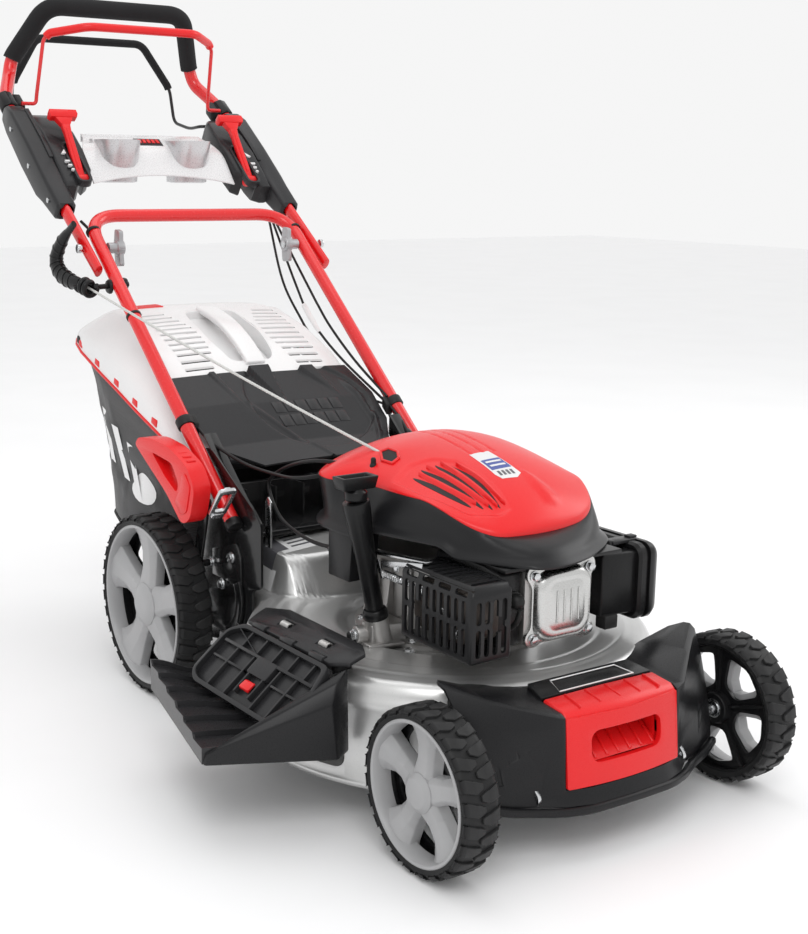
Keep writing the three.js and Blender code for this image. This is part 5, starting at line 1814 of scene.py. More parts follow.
def flap_lift(s, t):
    """Pressed shapes of the flap: wedges, side ridges and a shallow dish."""
    lift = wedge(s, t, -0.16, 0.10, 0.02, 0.42, 13) + wedge(s, t, 0.44, 0.62, 0.66, 0.36, 8)
    lift += wedge(s, t, -0.60, -0.52, -0.36, 0.62, 4)
    ridge = abs(s - (0.80 + 0.10 * t)) / 0.030
    lift += 6 * math.exp(-ridge ** 2) * smoothstep(0.1, 0.3, t) * smoothstep(0.98, 0.7, t)
    crease = abs(s + 0.62 - 0.75 * t)
    lift += 3.0 * smoothstep(0.05, 0.0, crease) * smoothstep(0.2, 0.5, t)
    dish = math.hypot((s - 0.28) / 0.66, (t - 0.36) / 0.52)
    lift -= 4.5 * smoothstep(1.0, 0.94, dish)
    return lift


def flap_point(s, t, extra=0.0):
    y = 812 - 200 * t
    half = read_line(FLAP_HALF, y)
    lift = flap_lift(s, t) * smoothstep(1.0, 0.94, abs(s))
    bow = 3.0 * (1 - s * s)
    return (s * half, y, read_line(FLAP_LINE, y) - 4 + bow + lift + extra)


def flap_skin():
    across, back = 150, 110
    rings = [[flap_point(-1 + 2 * i / across, k / back) for i in range(across + 1)]
             for k in range(back + 1)]
    return loft(rings, caps=False, closed=False)


def flap_tiles():
    """A raised frame of two rows of six tiles, a plain stand-in for the maker's panel."""
    tiles = Shape()
    for r in range(2):
        for c in range(6):
            s0, t0 = -0.14 + 0.125 * c, 0.36 + 0.125 * r
            corners = [(s0, t0), (s0 + 0.108, t0), (s0 + 0.108, t0 + 0.10), (s0, t0 + 0.10)]
            low = [flap_point(s, t, -1) for s, t in corners]
            high = [flap_point(s, t, 1.3) for s, t in corners]
            tiles.add(loft([low, high]))
    return tiles


def build_rear_flap():
    skin = piece("rear_flap_skin", flap_skin(), "graphite", "rear_flap_body", thick=3, smooth=28)
    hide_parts("rear_flap")
    piece("rear_flap_tiles", flap_tiles(), "graphite", "rear_flap_body", bevel=0.6)
    rod_piece = bar((-163, 655, 366), (163, 655, 366), 3, 20)
    knuckles = joined([bar((x, 655, 366), (x + 44, 655, 366), 6.5, 20) for x in (-150, -70, 26, 106)])
    piece("rear_flap_rod", rod_piece, "zinc", "rear_flap_body")
    piece("rear_flap_knuckles", knuckles, "graphite", "rear_flap_body", bevel=1)


# ------------------------------------------------------------------ grass catcher
LID_STATIONS = [
    # y, rim half width, rim height, top half width, top height
    (692, 195, 356, 148, 384), (704, 197, 361, 150, 392), (750, 201, 378, 154, 424),
    (806, 204, 399, 158, 464), (860, 205, 417, 160, 502), (930, 205, 441, 158, 534),
    (1010, 205, 467, 153, 558), (1075, 204, 489, 148, 561), (1108, 198, 499, 140, 556),
    (1128, 188, 505, 128, 538), (1133, 180, 506, 120, 524),
]


LID_WELL = rounded([(-44, 838), (44, 838), (56, 900), (50, 1000), (-50, 1000), (-56, 900)], 20, 5)


def lid_rim(y):
    """Height of the lid's rim."""
    return read_line([(st[0], st[2]) for st in LID_STATIONS], y)


def lid_ring(station):
    y, rim, rim_z, top, top_z = station
    half = [(rim, rim_z), (rim + 0.5, rim_z + 6), (rim - 6, rim_z + (top_z - rim_z) * 0.45),
            (top + 12, top_z - (top_z - rim_z) * 0.16), (top, top_z - 4), (top - 14, top_z),
            (top * 0.6, top_z + 2.5), (top * 0.28, top_z + 3.5), (0, top_z + 3.5)]
    full = half + [(-x, z) for x, z in reversed(half[:-1])]
    curve = smooth_path([(x, z, 0) for x, z in full], 5)
    return [Vector((p.x, y, p.y)) for p in curve]


def lid_surface(x, y):
    """Height of the lid's top at a plan point."""
    for a, b in zip(LID_STATIONS, LID_STATIONS[1:]):
        if a[0] <= y <= b[0]:
            t = (y - a[0]) / (b[0] - a[0])
            mix = [u + (v - u) * t for u, v in zip(a, b)]
            on_top = [p for p in lid_ring(mix) if p.z > mix[2] + 20]
            return min(on_top, key=lambda p: abs(p.x - x)).z
    return LID_STATIONS[-1][4]


def lid_shell():
    rings = []
    for a, b in zip(LID_STATIONS, LID_STATIONS[1:]):
        for k in range(4):
            t = k / 4
            rings.append(lid_ring([u + (v - u) * t for u, v in zip(a, b)]))
    rings.append(lid_ring(LID_STATIONS[-1]))
    shape = loft(rings, caps=False, closed=False)
    shape.f.append(tuple(range(len(shape.v) - len(rings[0]), len(shape.v))))
    return shape


def lid_vents():
    """Slots between the louvres on both shoulders of the lid."""
    tools = Shape()
    for k in range(13):
        y = 812 + 15 * k
        reach = 62 + 1.9 * (k - 6) ** 2 * 0.35
        for u0, u1 in ((-132, -reach), (reach, 132)):
            tools.add(plate(slot_outline(u0, y, u1, y + 6, 2.6), "z", 440, 640))
    return tools


def build_lid():
    lid = piece("lid_shell", lid_shell(), "white_plastic", "catcher", thick=3, smooth=40)
    cut_with(lid, lid_vents())
    cut_with(lid, plate(LID_WELL, "z", 440, 640))
    soften(lid, 0.6, 1, 50)
    shade(lid, 38)
    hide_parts("catcher_lid")
    floor = hull([(s * x, y, lid_surface(0, y) - d - under) for under in (0, 3) for s in (-1, 1)
                  for x, y, d in [(42, 840, 14), (54, 900, 34), (50, 960, 34), (46, 998, 12)]])
    piece("lid_well_floor", floor, "white_plastic", "catcher", bevel=2)
    top = [(x, y, lid_surface(0, y) - 0.5) for x, y in LID_WELL]
    low = [(x, y, lid_surface(0, y) - 30) for x, y in LID_WELL]
    ring = loft([top + top[:1], low + low[:1]], caps=False, closed=False)
    piece("lid_well_wall", ring, "white_plastic", "catcher", thick=2, smooth=60)
    handle = [(0, y, lid_surface(0, y) + d) for y, d in
              [(830, 0), (846, 2), (880, 5), (920, 6), (960, 5), (992, 2), (1008, 0)]]
    section = [(0.35, -1), (0.35, 1), (0.1, 1.1), (-0.3, 1), (-0.3, -1), (0.1, -1.1)]
    bar_shape = sweep_tube(smooth_path(handle, 5), 17, section=section, up=(0, 0, 1))
    piece("lid_handle", bar_shape, "white_plastic", "catcher", bevel=3, segments=3)


def build_lid_piping():
    hem = []
    for s in (-1, 1):
        path = [(s * (half + 1.2), y, z + 1) for y, half, z, _, _ in LID_STATIONS]
        hem.append(sweep_tube(path, 2.6, 10))
    back = [(x, 1134.5, 506) for x in (-180, -60, 60, 180)]
    hem.append(sweep_tube(back, 2.6, 10))
    piece("lid_piping", joined(hem), "red_plastic", "catcher")


LID_HOOK = [(-3, -9, 2), (2.6, -9, 4), (-3, 9, 8), (2.6, 9, 10), (-3, -9, 16), (1.4, -9, 14),
            (-3, 9, 20), (1.4, 9, 19)]
LID_HOOK_SLOT = [(-3, 8, 8), (0.9, 8, 10), (-3, 20, 13), (0.9, 20, 15), (-3, 8, 22),
                 (-0.6, 8, 21), (-3, 20, 26), (-0.6, 20, 25)]


def build_lid_hooks():
    hooks, slots = Shape(), Shape()
    for y in (800, 866, 935, 1010, 1080):
        z = lid_rim(y)
        half = read_line([(st[0], st[1]) for st in LID_STATIONS], y)
        for s in (-1, 1):
            x = s * (half - 1)
            for shape, points in ((hooks, LID_HOOK), (slots, LID_HOOK_SLOT)):
                shape.add(hull([(x + s * dx, y + dy, z + dz) for dx, dy, dz in points]))
    piece("lid_hooks", hooks, "red_plastic", "catcher", bevel=1.5)
    piece("lid_hook_slots", slots, "dark_plastic", "catcher", bevel=0.8)


def build_lid_indicator():
    ribs = Shape()
    for k in range(7):
        y = 1052 + 8.5 * k
        ribs.add(hull([(x, y + dy, lid_surface(x, y) + dz) for x in (-118 + 1.5 * k, -58)
                       for dy, dz in [(0, -0.5), (7, -0.5), (1, 2), (6, 2)]]))
    piece("lid_indicator", ribs, "red_plastic", "catcher", bevel=0.8)


BAG_LEVELS, BAG_AROUND = 26, 168


def bag_outline(t):
    """Plan of the bag at a share of its depth below the lid: it narrows and leans forward."""
    front = 694 + 20 * t + 6 * math.sin(math.pi * t)
    rear = 1124 - 84 * t ** 0.8 - 20 * math.sin(math.pi * t) * (1 - t)
    half_f, half_r = 193 - 18 * t, 186 - 18 * t
    middle = 201 - 7 * t
    return [(-half_f, front), (-middle, front + 90), (-middle, rear - 90), (-half_r, rear),
            (half_r, rear), (middle, rear - 90), (middle, front + 90), (half_f, front)]


def bag_rim(y):
    return lid_rim(min(1133, max(692, y))) - 1


def bag_floor(y):
    return 188 + 26 * smoothstep(720, 1040, y)


def bag_point(t, k, around):
    """Cloth hung from the lid's rim: it bellies between the wires and gathers in folds."""
    loop_points = rounded(bag_outline(t), 34, 7)
    at = k / around * len(loop_points)
    a, b = loop_points[int(at) % len(loop_points)], loop_points[(int(at) + 1) % len(loop_points)]
    p = Vector(a).lerp(Vector(b), at - int(at))
    middle = Vector((0, 905))
    out = (p - middle).normalized()
    hang = math.sin(math.pi * min(1.0, t * 1.02))
    fold = noise.noise(Vector((p.x * 0.012, p.y * 0.016, t * 5.0)))
    small = noise.noise(Vector((p.x * 0.05, p.y * 0.05, t * 16.0)))
    push = hang * (-7 + 9 * fold + 2.2 * small)
    p = p + out * push
    z = bag_rim(p.y) + (bag_floor(p.y) - bag_rim(p.y)) * t
    return Vector((p.x, p.y, z + 3 * fold * hang))


def bag_skin():
    around = BAG_AROUND
    rings = [[bag_point(k / BAG_LEVELS, i, around) for i in range(around)]
             for k in range(BAG_LEVELS + 1)]
    last = rings[-1]
    middle = Vector((0, 880, 0))
    for share in (0.9, 0.7, 0.45, 0.2):
        ring = []
        for p in last:
            q = middle + (Vector((p.x, p.y, 0)) - middle) * share
            ring.append(Vector((q.x, q.y, bag_floor(q.y) - 7 * (1 - share) ** 0.6)))
        rings.append(ring)
    shape = loft(rings, caps=False)
    shape.f.append(tuple(range(len(shape.v) - around, len(shape.v))))
    return shape


def bag_side_point(y, z):
    """A point on the right side of the bag, found by its depth."""
    rim, low = bag_rim(y), bag_floor(y)
    t = min(0.98, max(0.02, (rim - z) / (rim - low)))
    right = [p for p in (bag_point(t, k, BAG_AROUND) for k in range(BAG_AROUND)) if p.x < 0]
    best = min(right, key=lambda p: abs(p.y - y))
    return Vector((best.x - 1.0, y, z))


def side_print(outline):
    pts = [bag_side_point(y, z) for y, z in outline]
    middle = sum(pts, Vector()) / len(pts)
    shape = Shape(pts + [bag_side_point(middle.y, middle.z)])
    n = len(pts)
    shape.f = [(k, (k + 1) % n, n) for k in range(n)]
    return shape


def build_bag():
    cloth = piece("bag_cloth", bag_skin(), "bag_mesh", "catcher", thick=1.2, smooth=60)
    cut_with(cloth, block(-150, 150, 660, 740, 214, 340))
    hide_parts("catcher_bag")
    prints = Shape()
    for k in range(3):
        y, z = 1034 - 56 * k, 400 - 22 * k
        prints.add(side_print([(y, z), (y - 20, z - 4), (y - 50, z - 92), (y - 30, z - 88)]))
    leaf = [(868 + 40 * math.cos(a) - 6 * math.sin(2 * a), 286 + 26 * math.sin(a))
            for a in [2 * math.pi * k / 20 for k in range(20)]]
    prints.add(side_print(leaf))
    piece("bag_print", prints, "white_plastic", "catcher", smooth=60)
    ring = [bag_point(0.995, k, 84) for k in range(84)]
    piece("bag_hem", sweep_tube(ring + ring[:1], 3.4, 8), "bag_trim", "catcher")
    mouth = [(-152, 708, 342), (-152, 712, 212), (152, 712, 212), (152, 708, 342), (-152, 708, 342)]
    piece("bag_mouth_frame", sweep_tube(bent(mouth, 14), 4, 10), "black_plastic", "catcher")


build_side_flap()
build_side_chute()
build_side_plates()
build_handle_channels()
build_rear_panels()
build_handle_feet()
build_height_lever()
build_releases()
build_rear_flap()
build_lid()
build_lid_piping()
build_lid_hooks()
build_lid_indicator()
build_bag()


# ------------------------------------------------------------------ console and its covers
COVER_TILT = math.degrees(math.atan2(285, 394))


def on_slope(shape):
    """From cover coordinates (x, along the tube, away from it) to the machine."""
    return shape.turned("X", COVER_TILT).moved(y=1104, z=744)


COVER_STATIONS = [
    # along the tube, inner x, outer x, underside, top
    (-26, 207, 236, -16, 9), (-20, 204, 239, -20, 13), (34, 203, 240, -28, 15),
    (60, 203, 241, -34, 17), (140, 203, 241, -32, 22), (228, 203, 241, -24, 24),
    (256, 204, 240, -18, 18), (266, 208, 237, -12, 10),
]
INNER_STATIONS = [
    (30, 184, 205, -26, 12), (46, 168, 205, -30, 15), (70, 144, 205, -33, 19), (120, 142, 205, -33, 25),
    (170, 142, 205, -28, 26), (214, 146, 205, -22, 22), (238, 160, 205, -16, 12),
]


def cover_loft(stations, soft):
    rings = []
    for u, x0, x1, low, high in stations:
        ring = slot_outline(x0, low, x1, high, soft, 3)
        rings.append([(x, u, v) for x, v in ring])
    return loft(rings)


def build_cover_marks(name, body, side):
    """Three raised bars and a triangle, without words, beside the lever's slot."""
    marks = Shape()
    for k in range(3):
        marks.add(block(181, 186 + 2 * k, 58 + 12 * k, 62 + 12 * k, 21, 25.6))
    marks.add(hull([(x, u, v) for x, u in [(181, 104), (190, 104), (181, 116)] for v in (21, 26.6)]))
    piece(name + "_marks", handed(on_slope(marks), side), "label", body, bevel=0.3)


def build_slot_rim(name, body, side):
    opening = slot_outline(158.5, 34.5, 177.5, 133.5, 8.5)
    rim = plate(slot_outline(154, 30, 182, 138, 12), "z", 14, 26.8, [opening])
    rim = rim.warped(lambda p: Vector((p.x, p.y, p.z - 5.5 * smoothstep(100, 34, p.y))))
    piece(name + "_slot_rim", handed(on_slope(rim), side), "graphite", body, bevel=1.2)


def build_cover_shell(name, body, side):
    outer = cover_loft(COVER_STATIONS, 7)
    inner = cover_loft(INNER_STATIONS, 6)
    lip = hull([(x, u, v) for x in (205, 212)
                for u, v in [(100, 22), (150, 27), (236, 27), (240, 20), (100, 14)]])
    slot = plate(slot_outline(158, 34, 178, 134, 9), "z", -60, 60)
    tube_room = bar((221, -60, 0), (221, 300, 0), 12.6, 24)
    shapes = [handed(on_slope(shape), side) for shape in (outer, inner, lip)]
    tools = [handed(on_slope(shape), side) for shape in (slot, tube_room)]
    main = piece(name + "_shell", shapes[0], "graphite", body, weld=shapes[1:], cut=tools,
                 bevel=1.6, smooth=30)
    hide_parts(name)


def build_covers():
    body = "upper_handle_body"
    for side, name in ((-1, "right_cover"), (1, "left_cover")):
        build_cover_shell(name, body, side)
        build_cover_marks(name, body, side)
        build_slot_rim(name, body, side)
        screws = joined([disc_stack([(4.5, -1), (4.5, 1.6), (3, 2.2)], "x", (u, v), 16).moved(x=241)
                         for u, v in [(10, -4), (110, -6), (210, 0)]])
        piece(name + "_screws", handed(on_slope(screws), side), "zinc", body)


def panel_point(s, t):
    """The console's skin: s across, t from the curved lower edge to the upper one."""
    edge = 15 * (1 - s * s)
    y = 1154 + 98 * t + edge * (1 - t) ** 1.5
    z = 783 + 79 * t + 16 * math.sin(math.pi * min(1, t)) * 0.9 + edge * 0.9 * (1 - t) ** 1.5
    if t > 1:
        y, z = 1252 + 4 * (t - 1), 862 - 60 * (t - 1)
    x = s * (141 - 22 * smoothstep(0.3, 1.0, t))
    return (x, y, z)


CUP = {"x": 71, "half": 33, "front": 1158, "rear": 1226, "floor": 780, "rim": 852, "belly": 24}


CUP_SECTION = [  # height and growth of the outline, down the inside and up the outside
    (CUP["floor"] + 0.3, -3), (CUP["floor"] + 3, -0.8), (CUP["rim"] - 30, -0.4),
    (CUP["rim"] - 3, 0), (CUP["rim"], 1), (CUP["rim"], 3), (CUP["rim"] - 4, 3.2),
    (CUP["rim"] - 30, 2.6), (CUP["floor"] - 2, 2.2), (CUP["floor"] - 4, -4),
]


def cup_outline(grow=0.0):
    """A D: flat across the rear, round to the front."""
    w, f, r = CUP["half"] + grow, CUP["front"] - grow, CUP["rear"] + grow
    return rounded([(-w, r), (-w, f + 22), (-w * 0.62, f + 3), (0, f), (w * 0.62, f + 3),
                    (w, f + 22), (w, r)], 13, 4)


def build_console():
    across, along_y = 72, 44
    rings = [[panel_point(-1 + 2 * i / across, -0.06 + 1.3 * k / along_y) for i in range(across + 1)]
             for k in range(along_y + 1)]
    panel = piece("console_panel", loft(rings, caps=False, closed=False), "pearl",
                  "upper_handle_body", thick=3, smooth=40)
    cups = Shape()
    for s in (-1, 1):
        inner = [(s * CUP["x"] + x, y) for x, y in cup_outline()]
        cut_with(panel, plate(inner, "z", CUP["rim"] - 26, 900))
        rings = []
        for z, grow in CUP_SECTION:
            rings.append([(s * CUP["x"] + x, y + cup_slant(y, z), z) for x, y in cup_outline(grow)])
        rings = rings[:1] + rings
        cups.add(loft(rings[::-1]))
    soften(panel, 0.8, 2, 40)
    shade(panel, 40)
    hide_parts("console")
    piece("console_cups", cups, "silver_plastic", "upper_handle_body", smooth=40)


def tile(corners, low, high):
    """A thin raised patch on the console's skin."""
    return loft([[lifted_panel(s, t, lift) for s, t in corners] for lift in (low, high)])


def build_console_marks():
    """A plain badge with five bars, and three ticks at each end; no lettering."""
    badge = tile([(-0.19, 0.52), (0.19, 0.52), (0.21, 0.76), (-0.21, 0.76)], -1, 1.2)
    piece("console_badge", badge, "dark_plastic", "upper_handle_body", bevel=0.5)
    bars = Shape()
    for k in range(5):
        s0 = -0.16 + 0.068 * k
        bars.add(tile([(s0, 0.58), (s0 + 0.045, 0.58), (s0 + 0.052, 0.71), (s0 + 0.007, 0.71)],
                      0.8, 2.0))
    piece("console_badge_bars", bars, "red_plastic", "upper_handle_body")
    ticks = Shape()
    for s0 in (-0.9, 0.84):
        for t0 in [0.62 + 0.05 * k for k in range(3)]:
            ticks.add(tile([(s0, t0), (s0 + 0.05, t0), (s0 + 0.05, t0 + 0.02), (s0, t0 + 0.02)],
                           0, 0.8))
    piece("console_ticks", ticks, "grey_plastic", "upper_handle_body")


def cup_slant(y, z):
    """The cup's front wall leans back into the panel towards the floor."""
    depth = smoothstep(CUP["rim"], CUP["floor"], z)
    return CUP["belly"] * depth * smoothstep(CUP["rear"] - 20, CUP["front"], y)


def lifted_panel(s, t, lift):
    x, y, z = panel_point(s, t)
    return (x, y - lift * 0.63, z + lift * 0.77)


def build_levers():
    sizes = [(-2, 7.5, 5), (60, 7, 5), (96, 6.5, 5.5), (118, 8.5, 6)]  # height, half width, half depth
    for side, name in ((-1, "throttle_lever"), (1, "speed_lever")):
        stem = loft([[(x, y, z) for x, y in slot_outline(-w, -d, w, d, 2.4, 3)] for z, w, d in sizes])
        head = hull([
            (-24, -7, 127), (24, -7, 127), (-24, 7, 127), (24, 7, 127), (-26, -9, 133), (26, -9, 133),
            (-26, 9, 133), (26, 9, 133), (-25, -8, 142), (25, -8, 142), (-23, 8, 143), (23, 8, 143)])
        neck = hull([(-17, -6, 129), (17, -6, 129), (-17, 6, 129), (17, 6, 129),
                     (-8, -6, 112), (8, -6, 112), (-8, 5, 112), (8, 5, 112)])
        hub = bar((-11, 0, 0), (11, 0, 0), 10, 24)
        rib = hull([(x, -6.6, z) for x in (-2, 2) for z in (20, 104)] +
                   [(x, -4, z) for x in (-3, 3) for z in (16, 108)])
        whole = stem.add(head, neck, hub, rib).turned("X", -34.6).moved(x=side * 168, y=1140, z=781)
        lever = piece(name + "_arm", whole, "red_plastic", name + "_body", bevel=1.8, segments=3)
        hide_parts(name)


def build_knobs():
    wing = rounded([(-11, -30), (9, -31), (12, -8), (16, 4), (12, 12), (9, 31), (-9, 28), (-8, 10),
                    (-15, 2), (-9, -8)], 5, 4)
    for side, name in ((-1, "right_knob"), (1, "left_knob")):
        blade = plate([(y + 1000, z + 671) for y, z in wing], "x", 160.4, 168)
        hub = disc_stack([(12, 158), (13, 160), (13, 170), (9, 172), (9, 185)], "x", (1000, 671), 28)
        bolt = hex_bolt((158, 1000, 671), 5, -2.4, "x")
        knob = piece(name + "_wing", handed(blade.add(hub), side), "knob_metal", name + "_body",
                     bevel=2.2, segments=3)
        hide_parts(name)
        piece(name + "_bolt", handed(bolt, side), "zinc", name + "_body", bevel=0.4)
    plugs = joined([bar((s * 233, 1000, 671), (s * 240, 1000, 671), 7.5, 24) for s in (-1, 1)])
    piece("fold_bolt_heads", plugs, "zinc", "upper_handle_body", bevel=1.2)


# ------------------------------------------------------------------ starter rope, cables and ties
ROPE_EXIT, ROPE_GUIDE = Vector((-96, 312, 426)), Vector((-244, 948, 611))
GRIP_HOLD = Vector((-249.5, 971.6, 617.9))


def twisted(path, radius, pitch, lobes=3, sides=12):
    """A laid rope: a lobed section that turns as it goes."""
    pts = [Vector(p) for p in path]
    shape = Shape()
    gone, normal = 0.0, Vector((0, 0, 1))
    for i, p in enumerate(pts):
        ahead = (pts[min(i + 1, len(pts) - 1)] - pts[max(i - 1, 0)]).normalized()
        normal = (normal - ahead * normal.dot(ahead)).normalized()
        side = ahead.cross(normal)
        gone += (p - pts[i - 1]).length if i else 0
        turn = 2 * math.pi * gone / pitch
        for k in range(sides):
            a = 2 * math.pi * k / sides
            r = radius * (0.88 + 0.12 * math.cos(lobes * (a - turn)))
            shape.v.append(p + (normal * math.cos(a) + side * math.sin(a)) * r)
    for i in range(len(pts) - 1):
        for k in range(sides):
            a, b = i * sides + k, i * sides + (k + 1) % sides
            shape.f.append((a, b, b + sides, a + sides))
    shape.f.append(tuple(range(sides))[::-1])
    shape.f.append(tuple(range(len(shape.v) - sides, len(shape.v))))
    return shape


def build_starter_rope():
    way = (ROPE_GUIDE - ROPE_EXIT).normalized()
    start = ROPE_EXIT - way * 16
    steps = 300
    line = [start.lerp(ROPE_GUIDE, k / steps) - Vector((0, 0, 5 * math.sin(math.pi * k / steps)))
            for k in range(steps + 1)]
    rope = piece("starter_rope_run", twisted(line, 2.3, 12, 3, 9), "rope", smooth=60)
    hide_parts("starter_rope")
    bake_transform(rope)
    tail_line = [ROPE_GUIDE.lerp(GRIP_HOLD, k / 12) for k in range(13)]
    tail = piece("starter_rope_tail", twisted(tail_line, 2.3, 12, 3, 9), "rope", smooth=60)
    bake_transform(tail)


def build_starter_handle():
    """The curved rubber grip, swollen in the middle, with its ribs."""
    path = smooth_path([(-249.5, 968, 617), (-253, 998, 619), (-256, 1034, 630), (-256, 1050, 652),
                        (-253, 1030, 682), (-250, 986, 712)], 9)
    count = len(path)
    radii = []
    for i in range(count):
        t = i / (count - 1)
        swell = 5.5 * math.sin(math.pi * min(1, t * 1.1)) ** 0.7
        radii.append(7.5 + swell - 2.0 * smoothstep(0.8, 1, t))
    section = [(0.82 * math.cos(a), 1.12 * math.sin(a)) for a in
               [2 * math.pi * k / 20 for k in range(20)]]
    grip = piece("starter_handle", sweep_tube(path, 1, radii=radii, section=section, up=(1, 0, 0)),
                 "black_plastic", "starter_grip_body", smooth=60)
    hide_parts("starter_grip")
    ribs = Shape()
    for i in range(8, count - 8, 4):
        ahead = (path[i + 1] - path[i - 1]).normalized()
        ring = [path[i] - ahead * 1.5, path[i] + ahead * 1.5]
        ribs.add(sweep_tube(ring, radii[i] * 1.10, section=section, up=(1, 0, 0)))
    piece("starter_handle_ribs", ribs, "black_plastic", "starter_grip_body", bevel=0.8)


def build_rope_guide():
    """The pigtail eye on the lower tube that the rope runs through."""
    axis = Vector((-6, 26, 7.6)).normalized()
    u = axis.orthogonal().normalized()
    v = axis.cross(u)
    centre = Vector((-244, 935, 608))
    turns, steps = 2.6, 80
    coil = []
    for k in range(steps):
        t = k / (steps - 1)
        a = 2 * math.pi * turns * t
        coil.append(centre + axis * (30 * t) + (u * math.cos(a) + v * math.sin(a)) * 10.5)
    guide = sweep_tube(coil, 4.6, 14)
    guide.add(sweep_tube(bent([(-234, 946, 612), (-226, 945, 612), (-176, 943, 615)], 5), 4.4, 14))
    guide_piece = piece("guide_coil", guide, "black_plastic", "lower_handle_body", smooth=60)
    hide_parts("rope_guide")
    nut = disc_stack([(4, -192), (9, -190), (11, -184), (10, -180)], "x", (943, 615), 24)
    piece("guide_nut", nut.add(hex_bolt((-192, 943, 615), 5, -0.1, "x")), "black_plastic",
          "lower_handle_body", bevel=0.8)
    saddle = disc_stack([(10, -213), (12, -210), (12, -207)], "x", (944, 612), 24)
    piece("guide_saddle", saddle, "black_plastic", "lower_handle_body", bevel=0.6)


def cable_run(name, points, radius, bodies):
    """A cable that rides on one body, or, where it runs between two, rides on none."""
    obj = piece(name, sweep_tube(smooth_path(points, 7), radius, 10), "black_plastic", smooth=60)
    if len(bodies) == 1:
        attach(obj, bodies[0])
    else:
        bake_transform(obj)
    return obj


UPPER, LOWER, CHASSIS = "upper_handle_body", "lower_handle_body", "chassis"


def build_right_cables():
    first = cable_run("right_cable_top", [(-192, 1092, 712), (-183, 1060, 690), (-180, 1010, 652),
                                          (-180, 960, 612)], 2.6, [UPPER, LOWER])
    cable_run("right_cable_tube", [(-180, 960, 612), (-180, 880, 548), (-180, 800, 484),
                                   (-181, 720, 424)], 2.6, [LOWER])
    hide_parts("throttle_cable")
    cable_run("right_cable_sag", [(-181, 720, 424), (-174, 671, 397), (-166, 584, 377),
                                  (-160, 500, 374), (-158, 436, 380), (-128, 392, 392)], 2.6,
              [LOWER, CHASSIS])
    cable_run("governor_cable", [(-128, 366, 410), (-146, 420, 406), (-150, 480, 388),
                                 (-150, 528, 362), (-150, 532, 340), (-150, 497, 306),
                                 (-150, 421, 292), (-150, 345, 296)], 2.8, [CHASSIS])
    ferrule = bar((-150, 372, 291), (-150, 345, 296), 3.8, 16)
    piece("governor_ferrule", ferrule, "zinc", CHASSIS, bevel=0.6)


LEFT_CABLES = [
    [(188, 1105, 716), (187, 1051, 600), (187, 974, 524), (187, 873, 456), (187, 794, 424),
     (187, 722, 417)],
    [(190, 1096, 712), (187, 1026, 624), (187, 981, 566), (187, 933, 524), (187, 851, 478),
     (186, 722, 424)],
    [(193, 1090, 710), (188, 1010, 640), (187, 937, 572), (187, 890, 532), (187, 810, 480),
     (185, 710, 431)],
]


def build_left_cables():
    for k, points in enumerate(LEFT_CABLES):
        top = cable_run("left_cable_top_%d" % k, points[:3], 2.3, [UPPER, LOWER])
        cable_run("left_cable_run_%d" % k, points[2:], 2.3, [LOWER])
        if k == 0:
            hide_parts("control_cable")
    adjuster = sweep_tube([(187, 978, 563), (187, 958, 545), (187, 940, 530), (187, 925, 518)], 1, 14,
                          radii=[4.6, 5.2, 4.4, 3.4])
    piece("cable_adjuster", adjuster, "white_plastic", LOWER, bevel=0.5)
    cable_run("left_cable_rear", [(186, 716, 424), (182, 668, 400), (174, 620, 372),
                                  (168, 560, 352), (166, 480, 336), (150, 428, 330)], 2.6,
              [LOWER, CHASSIS])
    cable_run("left_cable_gearbox", [(185, 716, 418), (182, 690, 392), (176, 652, 352),
                                     (172, 610, 300), (168, 580, 250)], 2.4, [LOWER, CHASSIS])


def build_cable_ties():
    ties = Shape()
    way = tube_way(TUBE_ANGLE)
    for s in (-1, 1):
        at = Vector((s * 197, 706, tube_z(706)))
        ties.add(sweep_tube([at - way * 8, at + way * 8], 13.8, 28))
        ties.add(hull([at + Vector((s * dx, 0, dz)) + way * dy for dx in (-21, -8)
                       for dy in (-9, 9) for dz in (-12, 6)]))
    piece("cable_ties", ties, "rubber", LOWER, bevel=1.4)


def build_bail_brackets():
    blocks = Shape()
    rise = tube_way(35.9)
    for s in (-1, 1):
        at = Vector((s * 221, 1352, 921))
        blocks.add(sweep_tube([at - rise * 34, at + rise * 6], 17, 8))
        blocks.add(hull([at + Vector((-s * dx, 0, dz)) - rise * dy for dx in (0, 30)
                         for dy in (-2, 30) for dz in (-14, 10)]))
    piece("bail_brackets", blocks, "black_plastic", UPPER, bevel=3, segments=3, smooth=35)


def build_cable_straps():
    strap = Shape()
    way = tube_way(TUBE_ANGLE)
    for s, y in ((-1, 880), (-1, 1030), (1, 1030)):
        at = Vector((s * 197, y, tube_z(y)))
        strap.add(sweep_tube([at - way * 2.5, at + way * 2.5], 12.6, 24))
    piece("cable_straps", strap, "rubber", LOWER, bevel=0.6)


# ------------------------------------------------------------------ underside and plain inner pieces
def arm_outline(pivot, hub, radius):
    d = Vector(hub) - Vector(pivot)
    a = math.atan2(d.y, d.x)
    half = math.pi
    return (circle(*hub, radius, 16, a - half / 2, half) + circle(*pivot, radius, 16, a + half / 2, half))


AXLES = [  # name, pivot and hub in (y, z), arm's x, end of the stub, bar radius
    ("front_axle", (-36, 72), (0, 101.5), 120, 264, 8),
    ("rear_axle", (681, 110.5), (717, 140), 204, 263, 9),
]


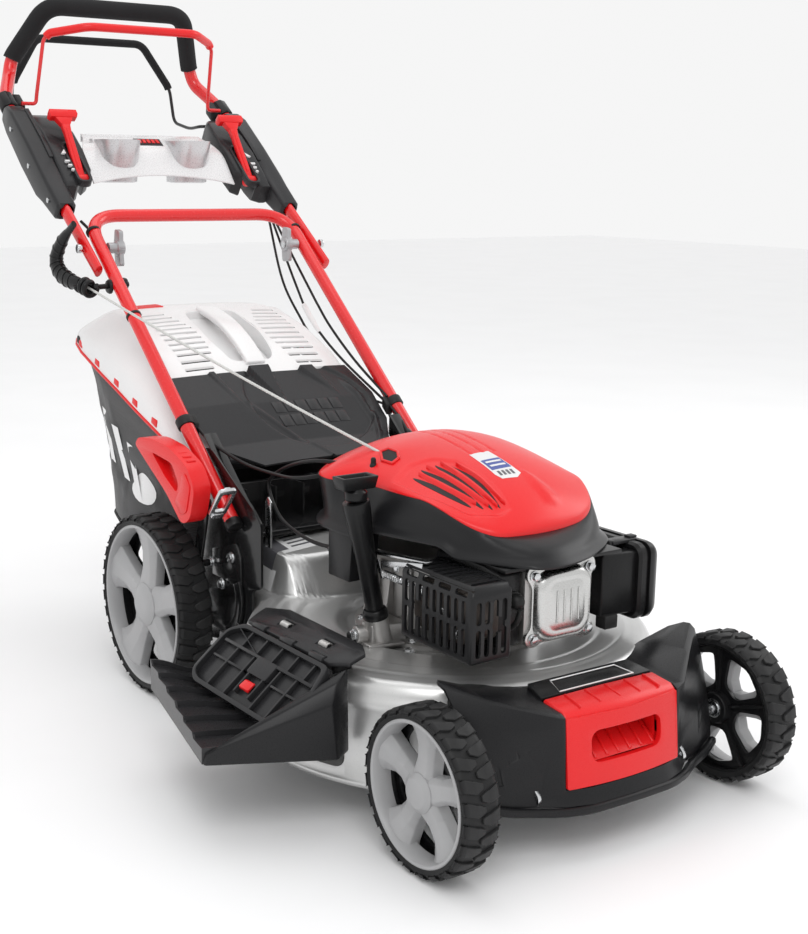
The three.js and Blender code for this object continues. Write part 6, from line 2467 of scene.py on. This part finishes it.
def build_axles():
    for name, pivot, hub, at, end, radius in AXLES:
        shape = bar((-at, *pivot), (at, *pivot), radius, 28)
        for s in (-1, 1):
            shape.add(plate(arm_outline(pivot, hub, 12), "x", s * at, s * (at + 5)))
            shape.add(bar((s * at, *hub), (s * end, *hub), 7, 28))
            shape.add(bar((s * (at + 5), *hub), (s * (at + 9), *hub), 12, 28))
        axle_piece = piece(name + "_bar", shape, "zinc", name + "_body", bevel=0.8)
        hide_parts(name)


def blade_ring(x):
    """A section of the blade: its tail edge turns up towards the tip."""
    s = 1 if x > 0 else -1
    lift = 16 * smoothstep(140, 175, abs(x))
    edge, tail, z = s * -27, s * 27, 60
    narrow = 8 * smoothstep(240, 262, abs(x))
    return [(x, DECK_Y + edge + s * narrow, z), (x, DECK_Y + edge + s * (8 + narrow), z + 4),
            (x, DECK_Y + tail * 0.4, z + 4), (x, DECK_Y + tail, z + 4 + lift),
            (x, DECK_Y + tail, z + lift), (x, DECK_Y + tail * 0.4, z)]


def build_blade():
    """Two halves, one the other turned half round; they meet under the blade bolt."""
    half, steps = 262, 24
    right = loft([blade_ring(half * k / steps) for k in range(steps + 1)])
    left = Shape([(-p.x, 2 * DECK_Y - p.y, p.z) for p in right.v], right.f)
    blade_piece = piece("blade_bar", right.add(left), "blade_steel", "crank", bevel=0.8)
    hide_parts("blade")
    hub = disc_stack([(24, 50), (24, 60)], "z", (0, DECK_Y), 32)
    hub.add(hex_bolt((0, DECK_Y, 50), 12, -10, "z"))
    piece("blade_bolt", hub, "zinc", "crank", bevel=0.8)


PLAIN_NODES = {
    "crankshaft": "zinc", "flywheel": "cast", "blade_adapter": "zinc", "starter_pulley": "black_plastic",
    "gearbox_pulley": "zinc", "gearbox": "cast", "drive_belt": "rubber",
}


def dress_plain_nodes():
    """Sealed inner pieces keep their frame shape and take a made material."""
    for name, material in PLAIN_NODES.items():
        node = bpy.data.objects[name]
        node.data.materials.clear()
        node.data.materials.append(M[material])


build_covers()
build_console()
build_console_marks()
build_levers()
build_knobs()
build_starter_rope()
build_starter_handle()
build_rope_guide()
build_right_cables()
build_left_cables()
build_cable_ties()
build_bail_brackets()
build_cable_straps()
build_axles()
build_blade()
dress_plain_nodes()
